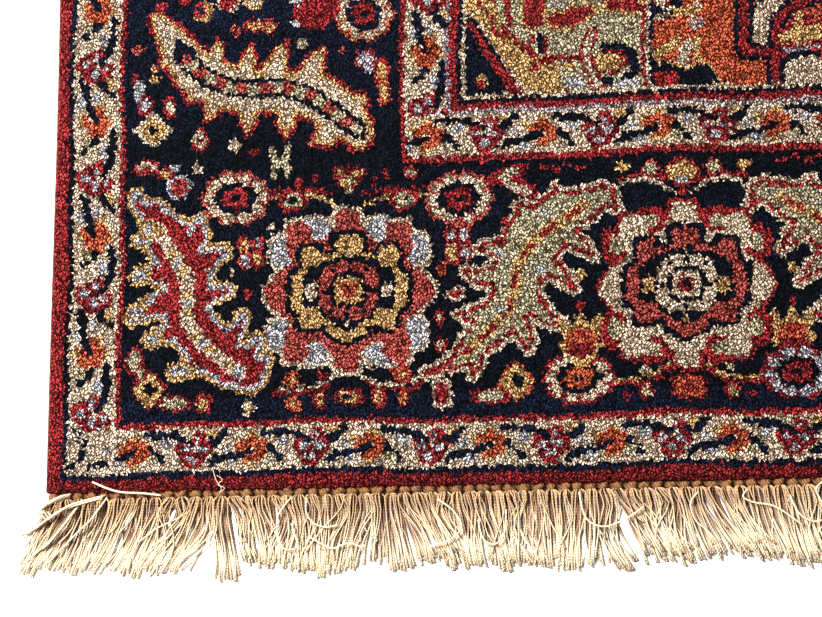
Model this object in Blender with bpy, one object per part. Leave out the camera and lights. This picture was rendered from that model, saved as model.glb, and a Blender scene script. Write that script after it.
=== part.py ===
"""A flat wool pile rug, woven with a traditional border design, with a knotted cotton fringe at each end.

Units are metres, with +Z up. The rug lies face up on the plane z = 0, its length along Y and its
middle at the origin. The rug is one solid. Each fringe is one solid too: a narrow strip along the
rug's end, and the tassels that are knotted along it.
"""

import math

import bmesh
import bpy

# The woven rug, a common room size
RUG_WIDTH = 1.70
PILE_LENGTH = 2.40
RUG_THICKNESS = 0.010  # the woven ground and the cut pile above it
RIM_ROLL = 0.003  # how far the pile falls away round the rim
EDGE_WANDER = 0.0025  # how far a side edge strays inwards between its corners
EDGE_WAVES = 3  # stray stretches along one side
EDGE_STEP = 0.12  # between the points of a side edge
ROLL_SEGMENTS = 2

# The fringe at each end: warp ends gathered into knotted tassels
TASSELS = 150
FRINGE_LENGTH = 0.068
SEAT_GAP = 0.0003  # between the strip and the rug's end
STRIP_WIDTH = 0.005
STRIP_HEIGHT = 0.0045
ROOT_WIDTH = 0.0070  # of a tassel where it leaves the strip
SHORTEST_SHARE = 0.90  # of the fringe's length, for the shortest tassel
UNEVEN_TURN = 2.4  # radians from one tassel's length to the next one's

# A tassel's cross-sections: share of its length, width, height above the floor
TASSEL_SECTIONS = (
    (0.05, 0.0086, 0.0060),  # the knot
    (0.11, 0.0068, 0.0046),  # drawn in under the knot
    (1.00, 0.0098, 0.0028),  # the spread cut ends
)

# How far the tips lie to one side: they fan out past each corner and lean across the middle stretch
CORNER_FAN = 0.026
CORNER_REACH = 0.055
MIDDLE_LEAN = 0.014

WOOL = ("dyed_wool_pile", (0.235, 0.030, 0.033), 0.95)
COTTON = ("cotton_warp_ends", (0.790, 0.655, 0.455), 0.85)


def matte(name, colour, roughness):
    """A dull, non-metallic fibre material."""
    material = bpy.data.materials.new(name)
    material.use_nodes = True
    shader = material.node_tree.nodes["Principled BSDF"]
    shader.inputs["Base Color"].default_value = (*colour, 1.0)
    shader.inputs["Roughness"].default_value = roughness
    shader.inputs["Metallic"].default_value = 0.0
    material.diffuse_color = (*colour, 1.0)
    return material


def object_from(bm, name, material):
    """Links the mesh as a named object with its material, all its faces pointing out."""
    bmesh.ops.recalc_face_normals(bm, faces=bm.faces[:])
    if bm.calc_volume(signed=True) < 0:
        bmesh.ops.reverse_faces(bm, faces=bm.faces[:])
    mesh = bpy.data.meshes.new(name)
    bm.to_mesh(mesh)
    bm.free()
    mesh.materials.append(material)
    piece = bpy.data.objects.new(name, mesh)
    bpy.context.scene.collection.objects.link(piece)
    return piece


def side_edge(share):
    """How far a side edge lies inside the full width, at a share of its length. Both corners are at full width."""
    return EDGE_WANDER * math.sin(math.pi * EDGE_WAVES * share) ** 2


def rug_outline():
    """Points round the rug, anticlockwise from the near left corner. The ends are straight."""
    half_width, half_length = RUG_WIDTH / 2, PILE_LENGTH / 2
    steps = round(PILE_LENGTH / EDGE_STEP)
    right = [
        (half_width - side_edge(i / steps), PILE_LENGTH * i / steps - half_length)
        for i in range(steps + 1)
    ]
    left = [(-x, -y) for x, y in right]
    return right + left


def build_rug(material):
    """The woven ground and pile as one slab, its upper rim rolled over."""
    bm = bmesh.new()
    base = bm.faces.new([bm.verts.new((x, y, 0.0)) for x, y in rug_outline()])
    lifted = bmesh.ops.extrude_face_region(bm, geom=[base])["geom"]
    top_points = [g for g in lifted if isinstance(g, bmesh.types.BMVert)]
    bmesh.ops.translate(bm, verts=top_points, vec=(0.0, 0.0, RUG_THICKNESS))
    rim = [e for e in bm.edges if all(v in top_points for v in e.verts)]
    bmesh.ops.bevel(
        bm, geom=rim, offset=RIM_ROLL, segments=ROLL_SEGMENTS, profile=0.5, affect="EDGES"
    )
    return object_from(bm, "rug", material)


def tip_lean(x):
    """How far a full-length tassel's tip lies to the side of its root, at x. It mirrors about the middle."""
    from_corner = RUG_WIDTH / 2 - abs(x)
    fan = CORNER_FAN * math.exp(-from_corner / CORNER_REACH)
    lean = MIDDLE_LEAN * math.sin(math.pi * from_corner / (RUG_WIDTH / 2)) ** 2
    return math.copysign(fan - lean, x)


def tassel_length(index):
    """The tassels are cut a little unevenly. The first has the fringe's full length."""
    share = 0.5 + 0.5 * math.cos(UNEVEN_TURN * index)
    return FRINGE_LENGTH * (SHORTEST_SHARE + (1 - SHORTEST_SHARE) * share)


def tassel_middle(index):
    """Where a tassel's root is centred along the strip."""
    return RUG_WIDTH * ((index + 0.5) / TASSELS - 0.5)


def strip_columns():
    """The x of each column of points along the strip's outer face: its ends and both sides of each root."""
    inner = [
        tassel_middle(i) + side * ROOT_WIDTH / 2 for i in range(TASSELS) for side in (-1, 1)
    ]
    return [-RUG_WIDTH / 2, *inner, RUG_WIDTH / 2]


def strip_with_roots(bm, outer_y):
    """Builds the strip against the rug's near end, and returns the faces that the tassels grow from, in order."""
    columns = strip_columns()
    bmesh.ops.create_grid(bm, x_segments=len(columns) - 1, y_segments=1, size=1.0)
    bm.verts.ensure_lookup_table()
    across = sorted(bm.verts, key=lambda v: v.co.x)
    for i, x in enumerate(columns):
        for point in across[2 * i : 2 * i + 2]:
            point.co = (x, outer_y, STRIP_HEIGHT if point.co.y > 0 else 0.0)
    outer = sorted(bm.faces, key=lambda f: f.calc_center_median().x)
    grown = bmesh.ops.extrude_face_region(bm, geom=outer, use_keep_orig=True)["geom"]
    back = [g for g in grown if isinstance(g, bmesh.types.BMVert)]
    bmesh.ops.translate(bm, verts=back, vec=(0.0, STRIP_WIDTH, 0.0))
    back_height = [e for e in bm.edges if all(v in back for v in e.verts) and upright(e)]
    across_strip = [e for e in bm.edges if sum(v in back for v in e.verts) == 1]
    bmesh.ops.dissolve_edges(bm, edges=inner_edges(back_height + across_strip), use_verts=True)
    return outer[1::2]


def upright(edge):
    """Whether an edge stands up from the floor."""
    return abs(edge.verts[0].co.z - edge.verts[1].co.z) > STRIP_HEIGHT / 2


def inner_edges(edges):
    """Those of the edges that aren't at either end of the strip."""
    return [e for e in edges if abs(e.verts[0].co.x) < RUG_WIDTH / 2 - ROOT_WIDTH / 4]


def grow_tassels(bm, roots, outer_y):
    """Extrudes each root through the tassel's sections. Every tassel rests on the floor along its length."""
    tips = roots
    for reach, width, height in TASSEL_SECTIONS:
        tips = bmesh.ops.extrude_discrete_faces(bm, faces=tips)["faces"]
        tips.sort(key=lambda f: f.calc_center_median().x)
        for i, tip in enumerate(tips):
            middle = tip.calc_center_median()
            along = tassel_length(i) * reach
            x = tassel_middle(i) + tip_lean(tassel_middle(i)) * along / FRINGE_LENGTH
            y = outer_y - along
            for point in tip.verts:
                side = 1 if point.co.x > middle.x else -1
                point.co = (x + side * width / 2, y, height if point.co.z > middle.z else 0.0)


def build_fringe(name, material, turned):
    """The fringe of the near end, or of the far end if it is turned half round."""
    bm = bmesh.new()
    outer_y = -PILE_LENGTH / 2 - SEAT_GAP - STRIP_WIDTH
    roots = strip_with_roots(bm, outer_y)
    grow_tassels(bm, roots, outer_y)
    if turned:
        for point in bm.verts:
            point.co.x, point.co.y = -point.co.x, -point.co.y
    return object_from(bm, name, material)


def main():
    for old in list(bpy.data.objects):
        bpy.data.objects.remove(old)
    wool, cotton = matte(*WOOL), matte(*COTTON)
    build_rug(wool)
    build_fringe("fringe_near", cotton, turned=False)
    build_fringe("fringe_far", cotton, turned=True)


main()
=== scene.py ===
"""The looks of a flat hand-knotted wool rug with a cotton fringe at each end.

The CAD model gives the rug's size and its place on the floor. This script adds the cut pile, tuft
by tuft, in a traditional leaf and rosette border round a field of garden panels, the woven ground
under it, the knotted tassels, the floor, the light and the camera. Places are in metres in the
CAD frame, with +Z up. The woven chart is in millimetres, from a side edge and from an end.
"""
import math

import bmesh
import bpy
import numpy as np
from bpy.props import FloatProperty, FloatVectorProperty, IntProperty, PointerProperty
from mathutils import Matrix, Vector


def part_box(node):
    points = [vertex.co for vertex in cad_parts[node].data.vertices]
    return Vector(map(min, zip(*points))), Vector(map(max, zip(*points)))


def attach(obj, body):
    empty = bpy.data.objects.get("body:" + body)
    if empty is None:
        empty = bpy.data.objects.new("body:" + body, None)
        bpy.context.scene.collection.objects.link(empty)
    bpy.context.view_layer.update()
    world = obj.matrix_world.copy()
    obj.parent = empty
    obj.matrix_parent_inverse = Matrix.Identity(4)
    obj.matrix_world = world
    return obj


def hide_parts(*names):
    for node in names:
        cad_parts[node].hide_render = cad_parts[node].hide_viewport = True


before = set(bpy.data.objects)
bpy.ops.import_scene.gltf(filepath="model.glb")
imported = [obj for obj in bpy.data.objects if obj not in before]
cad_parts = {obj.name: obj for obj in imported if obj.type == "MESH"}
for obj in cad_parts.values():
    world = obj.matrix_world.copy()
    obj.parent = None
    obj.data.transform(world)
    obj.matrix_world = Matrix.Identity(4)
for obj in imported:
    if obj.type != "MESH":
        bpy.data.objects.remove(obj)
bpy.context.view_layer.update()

bl_info = {
    "name": "Fringed Pile Rug",
    "version": (1, 0, 0),
    "blender": (4, 5, 0),
    "location": "3D View > Sidebar > Rug",
    "description": "Builds the pile, ground and fringes of a hand-knotted rug round its CAD model",
    "category": "Object",
}

RUG_LOW, RUG_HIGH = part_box("rug")
RUG_WIDTH = RUG_HIGH.x - RUG_LOW.x
RUG_LENGTH = RUG_HIGH.y - RUG_LOW.y
RUG_TOP = RUG_HIGH.z
MM = 0.001
PHOTO_WIDTH = 822  # pixels
PHOTO_DISTANCE = 2000  # pixels, from the eye to the picture plane
# The outer edge is cut a little uneven, as the CAD slab is
EDGE_WANDER = 2.5 * MM
EDGE_WAVES = 3


def linear(hex_colour):
    """An sRGB hex colour as linear red, green, blue and alpha."""
    parts = [int(hex_colour[i:i + 2], 16) / 255 for i in (1, 3, 5)]
    return (*[p / 12.92 if p <= 0.04045 else ((p + 0.055) / 1.055) ** 2.4 for p in parts], 1.0)


def node(tree, kind, links=(), **settings):
    """Adds a shader node. Settings name its own properties, or its inputs as in_0 or in_Scale.
    Links are (input, output socket) pairs."""
    made = tree.nodes.new(kind)
    for name, value in settings.items():
        if name.startswith("in_"):
            key = name[3:].replace("_", " ")
            made.inputs[int(key) if key.isdigit() else key].default_value = value
        else:
            setattr(made, name, value)
    for key, socket in links:
        tree.links.new(socket, made.inputs[key])
    return made


def fresh_material(name):
    """A material with its node tree and its Principled shader."""
    material = bpy.data.materials.new(name)
    material.use_nodes = True
    return material, material.node_tree, material.node_tree.nodes["Principled BSDF"]


def link_piece(mesh, replaced):
    """Links a finished mesh as a piece of the rug, which stands for a CAD node or a part of it."""
    piece = bpy.data.objects.new(mesh.name, mesh)
    bpy.context.scene.collection.objects.link(piece)
    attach(piece, "root")
    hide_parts(replaced)


def points_of(mesh):
    """The mesh's points as an array, a row each."""
    flat = np.empty(len(mesh.vertices) * 3, np.float32)
    mesh.vertices.foreach_get("co", flat)
    return flat.reshape(-1, 3).astype(float)


def move_points(mesh, points):
    """Puts the mesh's points at the rows of an array."""
    mesh.vertices.foreach_set("co", np.asarray(points, np.float32).ravel())
    mesh.update()


def corners_of(mesh):
    """The points of all face corners, a row each, and each face's first corner and corner count."""
    points = np.empty(len(mesh.loops), np.int64)
    mesh.loops.foreach_get("vertex_index", points)
    starts, totals = np.empty((2, len(mesh.polygons)), np.int64)
    mesh.polygons.foreach_get("loop_start", starts)
    mesh.polygons.foreach_get("loop_total", totals)
    return points_of(mesh)[points], starts, totals


def bake_map(mesh, parts=1):
    """Adds the bake map, in which faces that look up, down and to each side lie apart.
    The faces that look up are cut across into so many parts, laid one above the other."""
    corners, starts, totals = corners_of(mesh)
    share = (corners - corners.min(0)) / np.ptp(corners, axis=0)
    along, across = (0, 1) if np.ptp(corners[:, 0]) > np.ptp(corners[:, 1]) else (1, 0)
    normals = np.empty(len(mesh.polygons) * 3, np.float32)
    mesh.polygons.foreach_get("normal", normals)
    normals = normals.reshape(-1, 3)
    axis = np.abs(normals).argmax(1)
    side = 2 * axis + (normals[np.arange(len(axis)), axis] > 0)
    side = np.repeat(side, totals)
    up = 0.46 if parts == 1 else 0.86
    middle = np.add.reduceat(share[:, along], starts) / totals
    part = np.repeat(np.minimum((middle * parts).astype(int), parts - 1), totals)
    run = np.where(side == 5, share[:, along] * parts - part, share[:, along])
    rise = np.where(side == 5, (share[:, across] * 0.98 + part) / parts * up,
                    up + 0.01 + share[:, across] * (0.91 - up))
    upright = side < 4
    run = np.where(upright, share[np.arange(len(side)), np.where(side < 2, 1, 0)], run)
    rise = np.where(upright, 0.93 + 0.017 * side + 0.014 * share[:, 2], rise)
    flat = np.column_stack((0.01 + 0.98 * run, rise))
    mesh.uv_layers.new(name="OFBake").data.foreach_set("uv", flat.astype(np.float32).ravel())


def length_of(name, description, millimetres):
    """A length setting, shown in the scene's units."""
    return FloatProperty(name=name, description=description, default=millimetres * MM,
                         subtype="DISTANCE", unit="LENGTH")


def colour_of(name, description, hex_colour):
    """A colour setting."""
    return FloatVectorProperty(name=name, description=description, default=linear(hex_colour),
                               subtype="COLOR", size=4, min=0, max=1)


def count_of(name, description, number):
    """A setting for how many there are."""
    return IntProperty(name=name, description=description, default=number, min=1)


class RugYarns(bpy.types.PropertyGroup):
    """The wools of the pile, in their dyes"""
    navy: colour_of("Navy", "Ground of the wide border", "#0b0e15")
    indigo: colour_of("Indigo", "Bluer dye lot of the navy", "#18223c")
    red: colour_of("Madder red", "Outer strip, lines and leaf", "#b83638")
    brick: colour_of("Brick", "Petals of the dark rosettes", "#cc5c52")
    wine: colour_of("Wine", "Shaded parts of the red flowers", "#9c2c32")
    cream: colour_of("Cream", "Guard grounds and pale petals", "#ffe2c4")
    gold: colour_of("Gold", "Flower rings and leaf edges", "#f2c080")
    orange: colour_of("Orange", "Guard flowers and a panel ground", "#e26c48")
    sage: colour_of("Sage", "Large leaf and a panel ground", "#dccca8")
    silver: colour_of("Silver", "Cool grey small petals", "#d8d4d8")
    lilac: colour_of("Lilac", "Grey line inside the inner guard", "#c8b6bc")


class RugPile(bpy.types.PropertyGroup):
    """The cut pile"""
    bands: count_of("Bands", "Pieces that the pile is made in, end to end", 4)
    columns: count_of("Columns", "Lattice cells across the rug", 447)
    rows: count_of("Rows", "Lattice rows along the rug, all bands together", 728)
    unevenness: length_of("Unevenness", "How far a tuft's corners stray up and down", 0.6)
    straying: length_of("Straying", "How far a tuft's corners stray in the plane", 1.1)
    rim_width: length_of("Rim width", "Width over which the pile rolls down at the rim", 5)
    rim_fall: length_of("Rim fall", "How far the pile falls away at the rim", 3)
    foot: length_of("Foot", "Height of the pile's foot over the floor", 3.2)


class RugGround(bpy.types.PropertyGroup):
    """The woven cotton ground under the pile"""
    thickness: length_of("Thickness", "Of warp and weft together", 3)
    inset: length_of("Inset", "How far its ends lie inside the pile's", 1)
    selvedge: length_of("Selvedge", "How far the oversewn sides stand out past the pile", 2)
    rib: length_of("Rib", "Spacing of the warp ribs on the back", 2.6)
    cotton: colour_of("Cotton", "Undyed warp and weft", "#866a4c")


class RugFringe(bpy.types.PropertyGroup):
    """The knotted tassels"""
    tassels: count_of("Tassels", "Along one end", 150)
    strings: count_of("Strings", "In one tassel", 17)
    string_width: length_of("String width", "Diameter of one plied string", 1.65)
    length: length_of("Length", "From the rug's end to the longest tips", 66)
    knot_length: length_of("Knot length", "Of the knot at the head of a tassel", 9)
    band_width: length_of("Band width", "Of the woven band under the knots", 5)
    string_colour: colour_of("String", "Undyed cotton at the tips", "#e8d0ac")
    root_colour: colour_of("Root", "Undyed cotton by the knots", "#c69c68")
    # The shaded string colour is painted shade, for strings that lie deep in the fringe
    shaded_colour: colour_of("Shaded string", "Undyed cotton deep in the fringe", "#683a12")
    # The knot colour is brown cotton, darkened further with painted shade from the pile's edge
    knot_colour: colour_of("Knot", "Cotton browned by handling", "#744a20")


class RugStudio(bpy.types.PropertyGroup):
    """The floor, the light and the camera"""
    floor_colour: colour_of("Floor", "Plain pale floor", "#f4f3f1")
    key_power: FloatProperty(name="Key light", description="Power of the window light, in watts",
                             default=360, min=0)
    fill_strength: FloatProperty(name="Fill", description="Strength of the even room light",
                                 default=0.2, min=0)
    lens: FloatProperty(name="Lens", description="Focal length for a 36 mm sensor",
                        default=36 * PHOTO_DISTANCE / PHOTO_WIDTH, unit="CAMERA")


YARNS = ("navy", "indigo", "red", "brick", "wine", "cream", "gold", "orange", "sage", "silver", "lilac")
NAVY, INDIGO, RED, BRICK, WINE, CREAM, GOLD, ORANGE, SAGE, SILVER, LILAC = range(len(YARNS))

# Where each frame starts: mm from a side edge, then mm from an end
OUTER_GUARD = (18.5, 16.0)
BORDER = (65.0, 59.0)
BORDER_LINE = (312.5, 284.0)
INNER_GUARD = (317.0, 290.0)
FIELD = (371.5, 344.5)
FRAMES = (
    ((0.0, 0.0), RED), ((14.0, 11.0), NAVY), (OUTER_GUARD, CREAM), ((60.5, 54.0), RED), (BORDER, NAVY),
    (BORDER_LINE, RED), (INNER_GUARD, CREAM), ((352.0, 327.0), LILAC), ((356.5, 331.0), RED),
    ((364.0, 337.0), NAVY), ((368.0, 341.0), CREAM), (FIELD, SAGE),
)
GUARD_REPEAT = 102.8  # mm, as drawn
END_MIDDLE = 556  # mm across, the middle of the second rosette, about which an end's border mirrors


class Chart:
    """A weaver's chart: the yarn of every tuft, laid shape by shape, the later shape on top.

    A tuft's place is in mm across and along the chart. placed() gives the same tufts seen from
    another spot, so that a motif can be laid again somewhere else, mirrored or turned.
    """

    def __init__(self, across, along, yarn=None):
        self.across, self.along = across, along
        self.yarn = np.full(len(across), NAVY, np.uint8) if yarn is None else yarn

    def placed(self, u, v, flip=1, turned=False):
        across, along = self.across - u, self.along - v
        if turned:
            across, along = along, across
        return Chart(flip * across, along, self.yarn)

    def tufts_in(self, u0, u1, v0, v1):
        return np.flatnonzero((self.across > u0) & (self.across < u1)
                              & (self.along > v0) & (self.along < v1))

    def lay(self, tufts, reach, layers):
        for grow, yarn in layers:
            self.yarn[tufts[reach < grow]] = yarn

    def patch(self, u, v, wide, tall, corner, *layers):
        """A patch by its half sizes: corner 1 is a diamond, 2 an oval, 5 nearly a block."""
        pad = max(grow for grow, _ in layers) + 1
        tufts = self.tufts_in(u - wide - pad, u + wide + pad, v - tall - pad, v + tall + pad)
        share = ((np.abs(self.across[tufts] - u) / wide) ** corner
                 + (np.abs(self.along[tufts] - v) / tall) ** corner) ** (1 / corner)
        self.lay(tufts, (share - 1) * min(wide, tall), layers)

    def strokes(self, lines, *layers):
        """Strokes through points (u, v, half width), laid as one shape."""
        spots = np.array([spot for line in lines for spot in line], float)
        pad = spots[:, 2].max() + max(grow for grow, _ in layers) + 1
        low, high = spots.min(axis=0) - pad, spots.max(axis=0) + pad
        tufts = self.tufts_in(low[0], high[0], low[1], high[1])
        u, v = self.across[tufts], self.along[tufts]
        reach = np.full(len(tufts), 1e9)
        for line in lines:
            for (u0, v0, w0), (u1, v1, w1) in zip(line, line[1:]):
                du, dv = u1 - u0, v1 - v0
                share = np.clip(((u - u0) * du + (v - v0) * dv) / (du * du + dv * dv), 0, 1)
                away = np.hypot(u - u0 - share * du, v - v0 - share * dv)
                reach = np.minimum(reach, away - w0 - (w1 - w0) * share)
        self.lay(tufts, reach, layers)

    def checks(self, line, half, step, yarns):
        """Checks of one width along a line, in turn from the yarns."""
        spots = np.array(line, float)
        low, high = spots.min(axis=0) - half - 1, spots.max(axis=0) + half + 1
        tufts = self.tufts_in(low[0], high[0], low[1], high[1])
        u, v = self.across[tufts], self.along[tufts]
        best, along = np.full(len(tufts), 1e9), np.zeros(len(tufts))
        run = 0.0
        for (u0, v0), (u1, v1) in zip(line, line[1:]):
            du, dv = u1 - u0, v1 - v0
            length = np.hypot(du, dv)
            share = np.clip(((u - u0) * du + (v - v0) * dv) / length ** 2, 0, 1)
            away = np.hypot(u - u0 - share * du, v - v0 - share * dv)
            closer = away < best
            best[closer], along[closer] = away[closer], (run + share * length)[closer]
            run += length
        turn = (along // step).astype(int) % len(yarns)
        inside = best < half
        self.yarn[tufts[inside]] = np.array(yarns, np.uint8)[turn[inside]]

    def bloom(self, u, v, wide, tall, petals, depth, *layers):
        """A round flower with a scalloped edge; a layer's grow is a share of its size."""
        tufts = self.tufts_in(u - wide * 1.3, u + wide * 1.3, v - tall * 1.3, v + tall * 1.3)
        du, dv = (self.across[tufts] - u) / wide, (self.along[tufts] - v) / tall
        scallop = 1 + depth * np.cos(petals * np.arctan2(dv, du))
        share = np.hypot(du, dv) / scallop
        self.lay(tufts, share, layers)


def mirrored(rows):
    """Rows (u, v, ...) about a middle, given for one quarter and laid in all four."""
    for u, v, *rest in rows:
        for across in ((u, -u) if u else (0,)):
            for along in ((v, -v) if v else (0,)):
                yield (across, along, *rest)


# Yarns of a rosette: petal, edge, lobe, ring, block, dot, heart, core
DARK_ROSETTE = (BRICK, CREAM, SILVER, 0, GOLD, BRICK, CREAM, GOLD, ORANGE, WINE)
PALE_ROSETTE = (CREAM, RED, SAGE, 3.6, BRICK, CREAM, GOLD, CREAM, WINE, NAVY)


def rosette(chart, petal, edge, lobe, inset, ring, block, dot, heart, core, seed):
    """The large rosette: eight petals, small lobes in their notches, a knobbed ring and a heart."""
    lobes = list(mirrored(((29, 56, 12, 9.5, 2.4), (60, 37, 10, 13, 2.4))))
    petals = list(mirrored(((56, 0, 19, 22, 1.35), (44, 46, 11, 16, 4.5), (0, 60, 11, 12, 4))))
    for u, v, wide, tall, corner in lobes + petals:
        chart.patch(u, v, wide, tall, corner, (3.2, edge))
    chart.patch(0, 0, 59, 57, 2.2, (0, petal))
    for u, v, wide, tall, corner in lobes:
        chart.patch(u, v, wide, tall, corner, (1.0, edge), (-inset, lobe))
    for u, v, wide, tall, corner in petals:
        chart.patch(u, v, wide, tall, corner, (0, petal))
    # The ring runs through its knobs; the lowest one is a V
    knobs = [(0, 42, 12, 7.5, 4)] + [
        (side * u, v, wide, tall, 4) for side in (-1, 1)
        for u, v, wide, tall in ((34, 31, 8, 8.5), (46, 1, 5.5, 14), (33, -24, 9.5, 9))]
    band = [[(0, 35, 2.2), (side * 14, 31, 2.2), (side * 34, 29, 2.5), (side * 44, 15, 3.5),
             (side * 45, -13, 3.5), (side * 33, -27, 3), (side * 15, -29, 2.2),
             (side * 13, -35, 4.5), (0, -42, 4.5)] for side in (-1, 1)]
    for grow, yarn in ((4.4, NAVY), (0, ring)):
        chart.strokes(band, (grow, yarn))
        for u, v, wide, tall, corner in knobs:
            chart.patch(u, v, wide, tall, corner, (grow, yarn))
        if grow:
            chart.patch(0, 0, 42, 34, 2.6, (0, NAVY))
    chart.patch(0, 0, 26, 25.5, 3, (0, block))
    chart.patch(0, 0, 16, 15.5, 4, (0, NAVY))
    for u, v, wide, tall in mirrored(((21, 0, 6, 2.2), (0, 21, 1.8, 6), (15, 18, 1.5, 2.6))):
        chart.patch(u, v, wide, tall, 3, (0, NAVY))
    for u, v, wide, tall in mirrored(((32.5, 0, 5, 7), (0, 31, 1.7, 4))):
        chart.patch(u, v, wide, tall, 3, (0, dot))
    chart.patch(0, 0, 12, 11.5, 6, (0, heart), (-4.4, core))
    chart.patch(0, 0, 3.2, 3.0, 2, (0, seed))


def ring_flower(chart, u, v, wide, tall, petal, edge, heart):
    """The small ring flower: petals parted by their edge yarn, a navy ring and a flecked heart."""
    chart.bloom(u, v, wide, tall, 10, 0.045, (1.0, edge), (0.88, petal))
    tufts = chart.tufts_in(u - wide, u + wide, v - tall, v + tall)
    du, dv = (chart.across[tufts] - u) / wide, (chart.along[tufts] - v) / tall
    share, angle = np.hypot(du, dv), np.arctan2(dv, du)
    parting = ((np.abs(np.cos(5 * angle)) < 0.30) & (share > 0.62 + 0.1 * np.cos(3 * angle))
               & (share < 0.95))
    chart.yarn[tufts[parting]] = edge
    chart.bloom(u, v, wide, tall, 8, 0.05, (0.60, NAVY), (0.40, heart))
    chart.patch(u, v, wide * 0.16, tall * 0.10, 2, (0, NAVY))


def guard_repeat(chart):
    """One repeat of the guard border: an orange flower at 0 and a red one half a repeat on."""
    for u, v, wide, tall in ((0, 30.5, 5, 3), (-14, 25, 3.5, 3.5), (-2, 7, 6, 3.5), (12, 11, 3.5, 3.5)):
        chart.patch(u, v, wide, tall, 2, (0, GOLD))
    chart.strokes([[(-12, 19, 3), (-7, 24, 4), (1, 25.5, 4.5), (8, 21, 5), (7, 15, 5), (0, 11, 4),
                    (-6, 9, 2.5)]], (0, ORANGE))
    # A navy stem runs into the flower's open side
    chart.strokes([[(-38, 6, 2.5), (-31, 10.5, 4), (-17, 12.5, 2.8), (-8.5, 14.5, 3.2), (-2, 18, 2.8)],
                   [(14, 19, 3.2), (20, 13, 3), (25, 8, 3)]], (0, NAVY))
    chart.patch(-18, 7, 5.5, 3, 2, (0, SILVER))
    chart.patch(16, 10, 5, 4, 2, (0, SAGE))
    chart.patch(27, 24, 6, 3.8, 2, (0, SILVER))
    chart.patch(-24, 20, 4.5, 3, 2, (0, SILVER))
    chart.patch(-34, 32, 5, 4, 2, (0, GOLD))
    chart.strokes([[(9, 32, 2.6), (23, 32, 3.3), (34, 31, 3.3), (43, 26, 3.6), (48, 24, 3)],
                   [(-41, 23, 3.8), (-33, 25, 3.8), (-28, 29, 3), (-24, 34, 2.6)]], (0, NAVY))
    for u in (-GUARD_REPEAT / 2, GUARD_REPEAT / 2):
        for du, v, wide, tall, yarn in ((9, 18, 7, 6.5, WINE), (-1, 12, 10.5, 8, WINE),
                                        (4.5, 29, 6.5, 5.5, RED), (-10, 20, 7, 5, RED),
                                        (-1.5, 6.5, 8, 4.5, RED)):
            chart.patch(u + du, v, wide, tall, 2.6, (0, yarn))
        for du, v, wide, tall in ((3, 27.5, 2.8, 2.2), (-8, 19, 4.5, 2.6), (6, 18.5, 5, 3),
                                  (-2, 10, 4.6, 3.4)):
            chart.patch(u + du, v, wide, tall, 2, (0, SILVER))
        chart.patch(u - 3, 23.5, 3.2, 2.6, 2, (0, NAVY))


def guards(chart, start, first_u, first_v, end_repeat, side_repeat, depth):
    """Both guards of one frame: the end's runs through the corner and the side's stands on it.

    An orange flower lies at first_u along the end and at first_v along the side, and a repeat and
    a guard's depth are in mm.
    """
    start_u, start_v = start
    width = depth + 3  # a side's guard is a little wider than an end's
    end = (chart.along >= start_v) & (chart.along < start_v + depth) & (chart.across > start_u)
    side = ((chart.across >= start_u) & (chart.across < start_u + width)
            & (chart.along >= start_v + depth))
    for mask, run, rise, way, repeat in (
            (end, chart.across - first_u, chart.along - start_v, 1, end_repeat),
            (side, chart.along - first_v, (chart.across - start_u) * depth / width, -1, side_repeat)):
        tufts = np.flatnonzero(mask)
        along = way * run[tufts] * GUARD_REPEAT / repeat
        along = (along + GUARD_REPEAT / 2) % GUARD_REPEAT - GUARD_REPEAT / 2
        part = Chart(along, rise[tufts], chart.yarn[tufts].copy())
        guard_repeat(part)
        chart.yarn[tufts] = part.yarn


def buds(chart, rows):
    """Small buds: u, v, half width, half height, corner, edge yarn, body yarn, heart yarn."""
    for u, v, wide, tall, corner, edge, body, heart in rows:
        layers = [] if edge is None else [(2.8, edge)]
        layers.append((0, body))
        chart.patch(u, v, wide, tall, corner, *layers)
        if heart is not None:
            chart.patch(u, v, wide * 0.42, tall * 0.42, corner, (0, heart))


def corner_leaf(chart):
    """The red toothed leaf that crosses the corner."""
    spine = [(90, 246, 8), (106, 220, 18), (120, 188, 19), (122, 152, 16), (140, 128, 17),
             (162, 110, 17), (177, 102, 13)]
    teeth = [
        [(90, 244, 6), (78, 254, 2), (75, 264, 0.5)],
        [(98, 228, 4), (84, 224, 1.5), (77, 222, 0.3)],
        [(112, 192, 8), (92, 192, 5), (77, 190, 0.5)],
        [(112, 164, 8), (90, 160, 4.5), (74, 153, 1.5)],
        [(112, 168, 6), (104, 172, 4), (92, 168, 0.5)],
        [(118, 140, 8), (102, 136, 3.5), (92, 134, 0.5)],
        [(142, 116, 8), (124, 106, 3.0), (113, 102, 1)],
        [(120, 212, 10), (130, 222, 6), (132, 238, 0.5)],
        [(132, 196, 8), (146, 206, 3.5), (154, 208, 1)],
        [(130, 168, 8), (146, 172, 4), (158, 174, 1)],
        [(156, 126, 9), (167, 138, 3.5), (172, 150, 0.3)],
        [(172, 112, 8), (183, 120, 2), (186, 130, 0.3)],
        [(180, 104, 6), (190, 106, 1), (194, 112, 0.2)],
    ]
    chart.strokes([spine, *teeth], (7.5, GOLD), (4.0, SILVER), (0, RED))
    for u, v, wide, tall in ((79, 190, 6, 5), (77, 158, 6, 4.5), (94, 132, 6, 4.5), (118, 104, 8, 4),
                             (86, 232, 3, 5)):
        chart.patch(u, v, wide, tall, 2.2, (3.5, GOLD), (0, SILVER))
    chart.patch(93, 188, 4, 3.5, 2, (0, RED))
    chart.patch(90, 158, 5, 3, 2, (0, RED))
    rib = [(94, 232), (107, 208), (121, 184), (123, 146), (138, 127), (156, 112), (170, 101)]
    chart.strokes([[(u, v, 6) for u, v in rib]], (0, CREAM))
    chart.checks(rib, 4.0, 8, (GOLD, CREAM, CREAM, GOLD, SILVER))


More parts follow.
